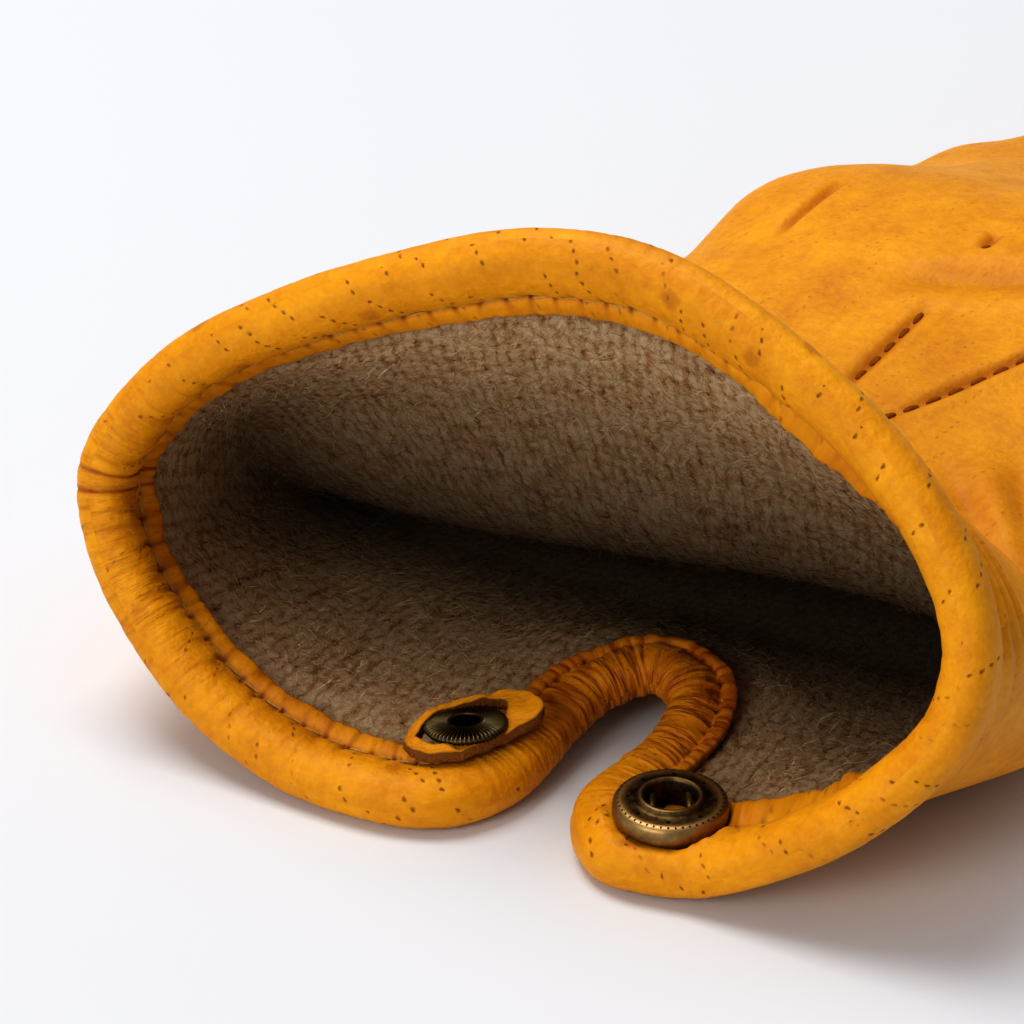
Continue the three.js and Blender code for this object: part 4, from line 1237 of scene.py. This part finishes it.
# Round the thumb's root, where its skin comes out of the hand's
crossing = [
    point for point in thumb_points
    if abs(depth_in_hand(point)) < CROSSING_NEAR and point[2] > CROSSING_ABOVE
]
ahead_by = [point[0] * thumb_forward[0] + point[1] * thumb_forward[1] for point in crossing]
root_seam = []
for step in np.arange(min(ahead_by), max(ahead_by), THUMB_SEAM_STEP):
    here = [point for point, by in zip(crossing, ahead_by) if step <= by < step + THUMB_SEAM_STEP]
    if here:
        root_seam.append(np.mean(here, axis=0))
sewn(bm, root_seam, thumb_tree, **HAND_STITCH)
# Down the side of the hand, from behind the hem
sewn(bm, hand[6::4, AROUND * 3 // 4], skin_tree, **HAND_STITCH)
finished("finger_stitches", bm, thread, weld=False)

# Lining
# A tubular cashmere knit, brushed on the inside: heathered grey-brown yarn in upright wales of
# small plump loops, hazy with loose fibres. The loops are drawn half as large again as real
# ones, so that they show. It looks soft and matt, with shade painted in that darkens it the
# deeper it lies.
WALE = 1.1
COURSE = 1.4
HEATHER = 5.0
# How far the knit starts behind the hem's line, where its inside lies from the wall's middle
# surface, deep in the glove and right behind the hem, and between which distances it eases in
LINING_STARTS = 3.9
LINING_IN = -2.1
LINING_AT_RIM = -1.25
LINING_EASES = (5.2, 9)
KNIT_THICK = 0.9
# Painted shade: between these depths, in millimetres, the knit darkens toward IN_SHADE
KNIT_SHADE = (11.0, 42.0)
IN_SHADE = "#201206"


def painted_shade_inside(tree, cloth, yarn, starts, ends):
    """The yarn's colour with painted shade, browner and darker between two depths in the glove, in
    millimetres.
    """
    depth = add(tree, "ShaderNodeSeparateXYZ", {"Vector": cloth})
    shaded = add(
        tree, "ShaderNodeMapRange",
        {"Value": depth.outputs["Y"], "From Min": starts, "From Max": ends, "To Min": 0.0, "To Max": 0.9},
    )
    return add(
        tree, "ShaderNodeMix", {"Factor": shaded.outputs[0], 6: yarn.outputs[0], 7: linear(IN_SHADE)},
        data_type="RGBA",
    )


knit, tree, shader = new_material("cashmere_knit", Roughness=0.95)
shader.inputs["Specular IOR Level"].default_value = 0.1
shader.inputs["Sheen Weight"].default_value = 0.3
shader.inputs["Sheen Roughness"].default_value = 0.6
shader.inputs["Sheen Tint"].default_value = linear("#E0C8A4")
cloth = add(tree, "ShaderNodeUVMap", uv_map="skin").outputs[0]
# Brushing has pulled the loops out of line
warp = add(tree, "ShaderNodeTexNoise", {"Vector": cloth, "Scale": 0.55, "Detail": 4, "Roughness": 0.7})
pushed = add(
    tree, "ShaderNodeVectorMath", {0: warp.outputs["Color"], 1: (1.9, 1.9, 0.0), 2: cloth},
    operation="MULTIPLY_ADD",
)
laid = add(tree, "ShaderNodeMapping", {"Vector": pushed.outputs[0], "Scale": (1 / WALE, 1 / COURSE, 1.0)})
loops = add(
    tree, "ShaderNodeTexVoronoi", {"Vector": laid.outputs[0], "Scale": 1.0, "Randomness": 0.7},
    voronoi_dimensions="2D",
)
# Fuzz on the loops, and yarn that is heathered in patches of a few millimetres
hairs = add(tree, "ShaderNodeMapping", {"Vector": pushed.outputs[0], "Scale": (2.6, 1.1, 1.0)})
fuzz = add(
    tree, "ShaderNodeTexNoise",
    {"Vector": hairs.outputs[0], "Scale": 1.5, "Detail": 7, "Roughness": 0.78, "Distortion": 0.6},
)
heather = add(
    tree, "ShaderNodeTexNoise",
    {"Vector": cloth, "Scale": 1 / HEATHER, "Detail": 4, "Roughness": 0.65},
)
plump = add(
    tree, "ShaderNodeMath", {0: loops.outputs["Distance"], 1: -0.3, 2: fuzz.outputs["Fac"]},
    operation="MULTIPLY_ADD",
)
heathered = add(
    tree, "ShaderNodeMath", {0: heather.outputs["Fac"], 1: 0.34, 2: plump.outputs[0]},
    operation="MULTIPLY_ADD",
)
# A low rib up each wale
upright = add(tree, "ShaderNodeSeparateXYZ", {"Vector": laid.outputs[0]})
wave = add(tree, "ShaderNodeMath", {0: upright.outputs["X"], 1: math.pi}, operation="MULTIPLY")
rib = add(tree, "ShaderNodeMath", {0: wave.outputs[0]}, operation="SINE")
rib_up = add(tree, "ShaderNodeMath", {0: rib.outputs[0]}, operation="ABSOLUTE")
tone = add(
    tree, "ShaderNodeMath", {0: rib_up.outputs[0], 1: 0.1, 2: heathered.outputs[0]},
    operation="MULTIPLY_ADD",
)
yarn = add(tree, "ShaderNodeValToRGB", {"Fac": tone.outputs[0]})
yarn.color_ramp.elements[0].position = 0.35
yarn.color_ramp.elements[0].color = linear("#4C2E16")
yarn.color_ramp.elements[1].position = 0.70
yarn.color_ramp.elements[1].color = linear("#FFE0B4")
middle_tone = yarn.color_ramp.elements.new(0.5)
middle_tone.color = linear("#D89E66")
darkened = painted_shade_inside(tree, cloth, yarn, *KNIT_SHADE)
tree.links.new(darkened.outputs[2], shader.inputs["Base Color"])
bump = add(tree, "ShaderNodeBump", {"Height": tone.outputs[0], "Strength": 1.0, "Distance": 0.0009})
tree.links.new(bump.outputs[0], shader.inputs["Normal"])

inside_levels = np.full(hand.shape[:2], LINING_IN)
for spot in np.ndindex(*inside_levels.shape):
    covered = 1 - smooth(over_wall(hand[spot]), *LINING_EASES)
    inside_levels[spot] += (LINING_AT_RIM - LINING_IN) * covered
inside = hand + hand_normals * inside_levels[..., None]
inside[..., 2] = np.maximum(inside[..., 2], LEATHER_OUT - inside_levels)
# It ends at the crotches of the fingers, where it passes out of sight
inside = inside[:-2]
steps_round = np.linalg.norm(np.diff(closing(inside, True, False), axis=1), axis=-1).mean(axis=0)
steps_in = np.linalg.norm(np.diff(inside, axis=0), axis=-1).mean(axis=1)
around_mm = np.concatenate([[0], np.cumsum(steps_round)])
along_mm = np.concatenate([[0], np.cumsum(steps_in)])
uv = np.zeros((len(inside), AROUND + 1, 2))
uv[..., 0] = around_mm[None, :]
uv[..., 1] = along_mm[:, None]
bm = bmesh.new()
woven(bm, inside, uv)
opened(bm, LINING_STARTS)
lining = finished("knit_lining", bm, knit, "lining", slot="lining_knit")
wall = lining.modifiers.new("wall", "SOLIDIFY")
wall.thickness = KNIT_THICK / 1000
wall.offset = 1

# Lining fibres
# Brushed cashmere stands off the knit as a haze of fine wavy hairs, each a tapering three-sided
# thread. They are drawn a little thicker than real ones, which would be too fine to show, and
# give the knit a soft pale edge.
FIBRES = 12000
FIBRE_DEPTH = 42
FIBRE_RADIUS = 0.028
FIBRE_LONG = (1.1, 3.0)
FIBRE_LIFT = (0.1, 0.7)
FIBRE_BENDS = 1.1
FIBRE_TIP = (-0.8, 0.7)
FIBRE_THINS = 0.9
FIBRES_START = 4.8
# Depths over which painted shade darkens the fibres, as it does the knit
FIBRE_SHADE = (12.0, 40.0)
DYE_SPREAD = 3
fibre, tree, shader = new_material("cashmere_fibre", Roughness=0.9)
shader.inputs["Specular IOR Level"].default_value = 0.1
cloth = add(tree, "ShaderNodeUVMap", uv_map="skin").outputs[0]
blend_of_dyes = add(tree, "ShaderNodeTexNoise", {"Vector": cloth, "Scale": 0.9, "Detail": 2})
yarn = add(tree, "ShaderNodeValToRGB", {"Fac": blend_of_dyes.outputs["Fac"]})
yarn.color_ramp.elements[0].position = 0.4
yarn.color_ramp.elements[0].color = linear("#A67F55")
yarn.color_ramp.elements[1].position = 0.62
yarn.color_ramp.elements[1].color = linear("#FFDEAE")
darkened = painted_shade_inside(tree, cloth, yarn, *FIBRE_SHADE)
tree.links.new(darkened.outputs[2], shader.inputs["Base Color"])
random = np.random.default_rng(11)
deepest = int(np.searchsorted(along_mm, FIBRE_DEPTH))
rows_at = random.uniform(0, deepest, FIBRES * 2)
columns_at = random.uniform(0, AROUND, FIBRES * 2)
points, faces, colours_at = [], [], []
made = 0
for row_at, column_at in zip(rows_at, columns_at):
    i, j = int(row_at), int(column_at)
    across = inside[i, (j + 1) % AROUND] - inside[i, j]
    down = inside[i + 1, j] - inside[i, j]
    root = inside[i, j] + across * (column_at - j) + down * (row_at - i)
    if made == FIBRES or over_wall(root) < FIBRES_START:
        continue
    normal = -hand_normals[i, j]
    turn = random.uniform(0, math.tau)
    long = random.uniform(*FIBRE_LONG)
    lift = random.uniform(*FIBRE_LIFT)
    across, down = unit(across), unit(down)
    bent = turn + random.uniform(-FIBRE_BENDS, FIBRE_BENDS)
    first = across * math.cos(turn) + down * math.sin(turn)
    second = across * math.cos(bent) + down * math.sin(bent)
    middle = root + first * long * 0.5 + normal * lift
    tip = middle + second * long * 0.5 + normal * lift * random.uniform(*FIBRE_TIP)
    side = np.cross(first, normal)
    start = len(points)
    for ring_middle, radius in ((root, FIBRE_RADIUS), (middle, FIBRE_RADIUS * FIBRE_THINS)):
        for corner in (0, 1, 2):
            a = math.tau * corner / 3
            points.append(ring_middle + (side * math.cos(a) + normal * math.sin(a)) * radius)
    points.append(tip)
    for corner in (0, 1, 2):
        after = (corner + 1) % 3
        faces.append((start + corner, start + after, start + 3 + after, start + 3 + corner))
        faces.append((start + 3 + corner, start + 3 + after, start + 6))
    faces.append((start + 2, start + 1, start))
    # A whole fibre takes its colour from one spot of the dye, not far from its root
    colours_at += [(around_mm[j] + turn * DYE_SPREAD, along_mm[i])] * 7
    made += 1
fibre_mesh = bpy.data.meshes.new("fibres")
fibre_mesh.from_pydata([tuple(point) for point in points], [], faces)
bm = bmesh.new()
bm.from_mesh(fibre_mesh)
bpy.data.meshes.remove(fibre_mesh)
layer = bm.loops.layers.uv.new("skin")
for face in bm.faces:
    for loop in face.loops:
        loop[layer].uv = colours_at[loop.vert.index]
finished("lining_fibres", bm, fibre, slot="lining_knit", weld=False)

# Snap socket
# The female half of a ring snap: a cup drawn from brass sheet, antiqued black-brown and rubbed
# bright on its lip and its ring of beads, with the two wires of its spring across the hole.
SOCKET_SIDES = 96
# Each row of a turned profile is a radius, a height and how far the metal is rubbed there
SOCKET_PROFILE = [
    (2.5, 1.3, 0), (2.5, 2.45, 0.05), (2.62, 2.72, 0.16), (2.86, 2.82, 0.2), (3.1, 2.7, 0.12),
    (3.28, 2.42, 0.02), (3.6, 2.28, 0), (4.2, 2.26, 0.1), (4.62, 2.3, 0.4), (4.95, 2.26, 0.75),
    (5.24, 2.08, 0.6), (5.42, 1.8, 0.42), (5.5, 1.35, 0.32), (5.48, 0.8, 0.3), (5.36, 0.35, 0.2),
    (5.1, 0.05, 0.1), (4.6, -0.1, 0), (2.5, -0.1, 0),
]
# Rings of little domes pressed up from the sheet, tarnished dark: a close one and a sparse one
DOMES = [
    {"count": 46, "ring": 4.92, "radius": 0.19, "height": 2.1},
    {"count": 8, "ring": 4.05, "radius": 0.27, "height": 2.12},
]
DOME_WORN = -0.3
WIRE = {"off": 1.75, "radius": 0.28, "long": 5.2, "height": 1.5, "worn": 0.5}
TARNISH_CLOUDS = 900


def old_metal(name, low_tone, rubbed_tone, roughness):
    """Antiqued brass: a satin metal, dark in its hollows, paler where it is rubbed."""
    material, tree, shader = new_material(name, Metallic=1.0, Roughness=roughness)
    place = add(tree, "ShaderNodeTexCoord").outputs["Object"]
    worn = add(tree, "ShaderNodeAttribute", attribute_name="worn").outputs["Fac"]
    cloud = add(
        tree, "ShaderNodeTexNoise",
        {"Vector": place, "Scale": TARNISH_CLOUDS, "Detail": 5.0, "Roughness": 0.7},
    )
    rubbed = add(
        tree, "ShaderNodeMath", {0: cloud.outputs["Fac"], 1: 0.7, 2: worn}, operation="MULTIPLY_ADD",
    )
    tone = add(tree, "ShaderNodeValToRGB", {"Fac": rubbed.outputs[0]})
    tone.color_ramp.elements[0].position = 0.25
    tone.color_ramp.elements[0].color = linear(low_tone)
    tone.color_ramp.elements[1].position = 0.8846
    tone.color_ramp.elements[1].color = linear(rubbed_tone)
    tree.links.new(tone.outputs[0], shader.inputs["Base Color"])
    bump = add(
        tree, "ShaderNodeBump", {"Height": cloud.outputs["Fac"], "Strength": 0.35, "Distance": 0.00008},
    )
    tree.links.new(bump.outputs[0], shader.inputs["Normal"])
    return material


def turned(profile, sides):
    """A ring of metal spun from its profile, as a new bmesh with its middle on the Z axis."""
    bm = bmesh.new()
    bm.loops.layers.uv.new("skin")
    worn_layer = bm.verts.layers.float.new("worn")
    verts = [bm.verts.new((radius, 0, height)) for radius, height, _ in profile]
    for vert, row in zip(verts, profile):
        vert[worn_layer] = row[2]
    edges = [bm.edges.new(pair) for pair in zip(verts, verts[1:] + verts[:1])]
    bmesh.ops.spin(
        bm, geom=verts + edges, cent=(0, 0, 0), axis=(0, 0, 1), angle=math.tau, steps=sides,
        use_merge=True,
    )
    return bm


antique_brass = old_metal("antiqued_brass", "#2A1E10", "#B29260", 0.44)
bm = turned(SOCKET_PROFILE, SOCKET_SIDES)
worn_layer = bm.verts.layers.float["worn"]
for domes in DOMES:
    for k in range(domes["count"]):
        turn = math.tau * (k + 0.5) / domes["count"]
        x, y = domes["ring"] * math.cos(turn), domes["ring"] * math.sin(turn)
        dome = bmesh.ops.create_uvsphere(
            bm, u_segments=8, v_segments=6, radius=domes["radius"],
            matrix=Matrix.Translation((x, y, domes["height"])),
        )
        for vert in dome["verts"]:
            vert[worn_layer] = DOME_WORN
for side in (-WIRE["off"], WIRE["off"]):
    lying = Matrix.Translation((side, 0, WIRE["height"])) @ Matrix.Rotation(math.pi / 2, 4, "X")
    wire = bmesh.ops.create_cone(
        bm, cap_ends=True, segments=12, radius1=WIRE["radius"], radius2=WIRE["radius"],
        depth=WIRE["long"], matrix=Matrix.Rotation(VIEW_TURN, 4, "Z") @ lying,
    )
    for vert in wire["verts"]:
        vert[worn_layer] = WIRE["worn"]
bmesh.ops.translate(bm, vec=Vector(SOCKET_AT), verts=bm.verts)
finished("snap_socket_ring", bm, antique_brass, "snap_socket", slot="antique_brass")

# Snap eyelet
# The eyelet that clamps the male half: brass blackened all over, with a fluted dished rim. It
# sits in the eye of a small patch cut from the same hide, whose tab rides up on the hem.
EYELET_PROFILE = [
    (1.35, -1.2, -0.5), (1.35, 0.3, -0.4), (1.5, 0.46, 0.25), (1.75, 0.5, 0.25), (2.0, 0.46, 0.1),
    (2.6, 0.42, 0.1), (3.2, 0.34, 0.15), (3.75, 0.24, 0.2), (4.05, 0.08, 0.3), (4.1, -0.1, 0.1),
    (3.7, -0.5, 0), (1.6, -0.5, 0), (1.6, -1.2, 0),
]
FLUTES = 56
FLUTE_DEEP = 0.1
FLUTE_WORN = 0.3
# The radii over which the flutes come in, and over which they die out
FLUTES_BEGIN, FLUTES_END = (1.7, 2.1), (3.95, 4.15)
# The eyelet doesn't sit true on its patch: it leans, and lies off the middle and a little proud
EYELET_LEANS = math.radians(-9)
EYELET_SLIPS = -0.4
EYELET_UP = 0.4
turn = Matrix.Rotation(VIEW_TURN - PATCH_TURN, 4, "Z")
lean = Matrix.Rotation(EYELET_LEANS, 4, "X")
on_eyelet = on_patch @ turn @ Matrix.Translation((EYELET_SLIPS, 0, EYELET_UP)) @ lean
dark_brass = old_metal("blackened_brass", "#0E0B06", "#857450", 0.34)
bm = turned(EYELET_PROFILE, FLUTES * 6)
worn_layer = bm.verts.layers.float["worn"]
for vert in bm.verts:
    radius = math.hypot(vert.co.x, vert.co.y)
    wave = math.cos(FLUTES * math.atan2(vert.co.y, vert.co.x))
    wave *= smooth(radius, *FLUTES_BEGIN) * (1 - smooth(radius, *FLUTES_END))
    vert.co.z += FLUTE_DEEP * wave
    vert[worn_layer] += FLUTE_WORN * wave
bmesh.ops.transform(bm, matrix=on_eyelet, verts=bm.verts)
finished("snap_eyelet_ring", bm, dark_brass, "snap_eyelet", slot="dark_brass")

# Snap patch
# A small patch of the same hide, cut with an eye for the eyelet and glued down, all but its tab.
# Its cut edges are thick and rough, and the thin band round the eye has crumpled.
PATCH_OUTLINE = [
    (-6.6, -1.2), (-5.7, 0.9), (-3.4, 3.0), (-0.8, 4.0), (2.3, 4.6), (5.2, 4.7), (6.5, 3.3),
    (7.3, 0.2), (6.6, -0.7), (3.3, -2.2), (0.0, -3.8), (-3.0, -4.2), (-5.5, -3.3),
]
PATCH_EYE = [
    (-5.3, -0.9), (-4.4, 1.0), (-2.6, 2.4), (-0.4, 3.1), (2.4, 3.5), (3.9, 3.2), (3.6, 1.2),
    (2.2, -0.9), (0.0, -2.3), (-2.4, -2.8), (-4.4, -2.2),
]
# How far in toward the eye, how high, and how rough with cut fibres
PATCH_SECTION = [
    (0.0, -0.8, 1), (0.04, -0.5, 1), (0.0, -0.2, 1), (0.03, 0.05, 1), (0.0, 0.26, 1),
    (0.06, 0.36, 0.25), (0.12, 0.38, 0), (0.3, 0.34, 0), (0.55, 0.36, 0), (0.8, 0.46, 0),
    (0.94, 0.42, 0.25), (1.0, 0.3, 1), (0.97, 0.05, 1), (1.0, -0.2, 1), (1.0, -0.8, 1),
    (0.5, -0.85, 1),
]
PATCH_STEPS = 200
PATCH_ROUND, PATCH_ACROSS = 40, 9
TAB_FROM = 3.0
TAB_CURL = 0.055
# The thin band round the eye passes into the tab between these places
BAND_ENDS = (3.2, 5.5)
BAND_RISE = 0.3
CRUMPLE, BAND_CRUMPLE = 0.16, 0.3
GLUED_BELOW = -0.8


def flat_outline(points):
    """Even steps round a flat closed outline."""
    return evenly(through([(*point, 0) for point in points + points[:1]], False, 24), PATCH_STEPS)


outer, inner = flat_outline(PATCH_OUTLINE), flat_outline(PATCH_EYE)
patch_rows = np.array([
    outer * (1 - share) + inner * share + [0, 0, height] for share, height, _ in PATCH_SECTION
])
marks = {name: np.zeros(patch_rows.shape[:2]) for name in ("deep", "raw", "pored", "pleated")}
marks["pored"][:] = 0.25
for k, (_, height, rough) in enumerate(PATCH_SECTION):
    marks["raw"][k] = rough
    for j, point in enumerate(patch_rows[k]):
        x, y, z = point
        band = 1 - smooth(x, *BAND_ENDS)
        crumple = (CRUMPLE + BAND_CRUMPLE * band) * noise.noise((x / 1.7, y / 1.7, 4.4))
        point[2] += TAB_CURL * max(x - TAB_FROM, 0) ** 2 + BAND_RISE * smooth(y, 0, 2) * band
        point[2] += crumple * (0.3 if height < GLUED_BELOW else 1)
        # Cut by hand, its edges wander a little
        point[:2] += 0.13 * noise.noise((x / 0.7, y / 0.7, 9.1 + z))
        point[:2] += 0.07 * noise.noise((x / 0.3, y / 0.3, z))
        # The crumpled band's creases, in relief and with shade painted into them
        marks["pleated"][k, j] = 0.35 * band
uv = np.zeros((len(patch_rows) + 1, PATCH_STEPS + 1, 2))
uv[..., 0] = np.linspace(0, PATCH_ROUND, PATCH_STEPS + 1)[None, :]
uv[..., 1] = np.linspace(0, PATCH_ACROSS, len(patch_rows) + 1)[:, None]
bm = bmesh.new()
woven(bm, patch_rows, uv, along=True, **marks)
bmesh.ops.transform(bm, matrix=on_patch, verts=bm.verts)
finished("snap_patch_leather", bm, leather, "snap_patch")

# Snap stud
# The male half below the flap: a spun brass button whose neck comes up through the leather and
# is splayed inside the eyelet. It is plain, as no one sees it.
STUD_SIDES = 48
STUD_PROFILE = [
    (0, 0.02, 0.5), (1.5, 0.02, 0.5), (1.85, 0.12, 0.6), (2.0, 0.4, 0.4), (1.95, 0.8, 0.1),
    (1.8, 1.25, 0.05), (2.3, 1.45, 0.05), (3.4, 1.5, 0.2), (3.6, 1.62, 0.4), (3.6, 1.95, 0.3),
    (3.4, 2.1, 0.1), (1.1, 2.1, 0), (1.1, 5.6, 0), (0.95, 5.7, 0), (0.8, 5.5, -0.2),
    (0.8, 2.4, -0.3), (0, 2.4, -0.3),
]
bm = turned(STUD_PROFILE, STUD_SIDES)
bmesh.ops.translate(bm, vec=Vector(EYELET_AT * [1, 1, 0]), verts=bm.verts)
finished("snap_stud_button", bm, dark_brass, "snap_stud", slot="dark_brass")

# Snap cap
# The plate that clamps the socket from below: a shallow brass dish with a rolled edge, its
# hollow rivet drawn up through the leather. It is plain, with no marks.
CAP_SIDES = 72
CAP_PROFILE = [
    (0, 0.25, 0.15), (3.6, 0.22, 0.1), (4.3, 0.06, 0.35), (5.0, 0.0, 0.6), (5.4, 0.12, 0.55),
    (5.6, 0.45, 0.35), (5.6, 0.95, 0.25), (5.45, 1.25, 0.1), (5.2, 1.3, 0), (1.1, 1.3, 0),
    (1.1, 5.2, -0.2), (0.95, 5.35, -0.2), (0.8, 5.2, -0.3), (0.8, 1.5, -0.3), (0, 1.5, -0.3),
]
bm = turned(CAP_PROFILE, CAP_SIDES)
bmesh.ops.translate(bm, vec=Vector(SOCKET_AT * [1, 1, 0]), verts=bm.verts)
finished("snap_cap_plate", bm, antique_brass, "snap_cap", slot="antique_brass")
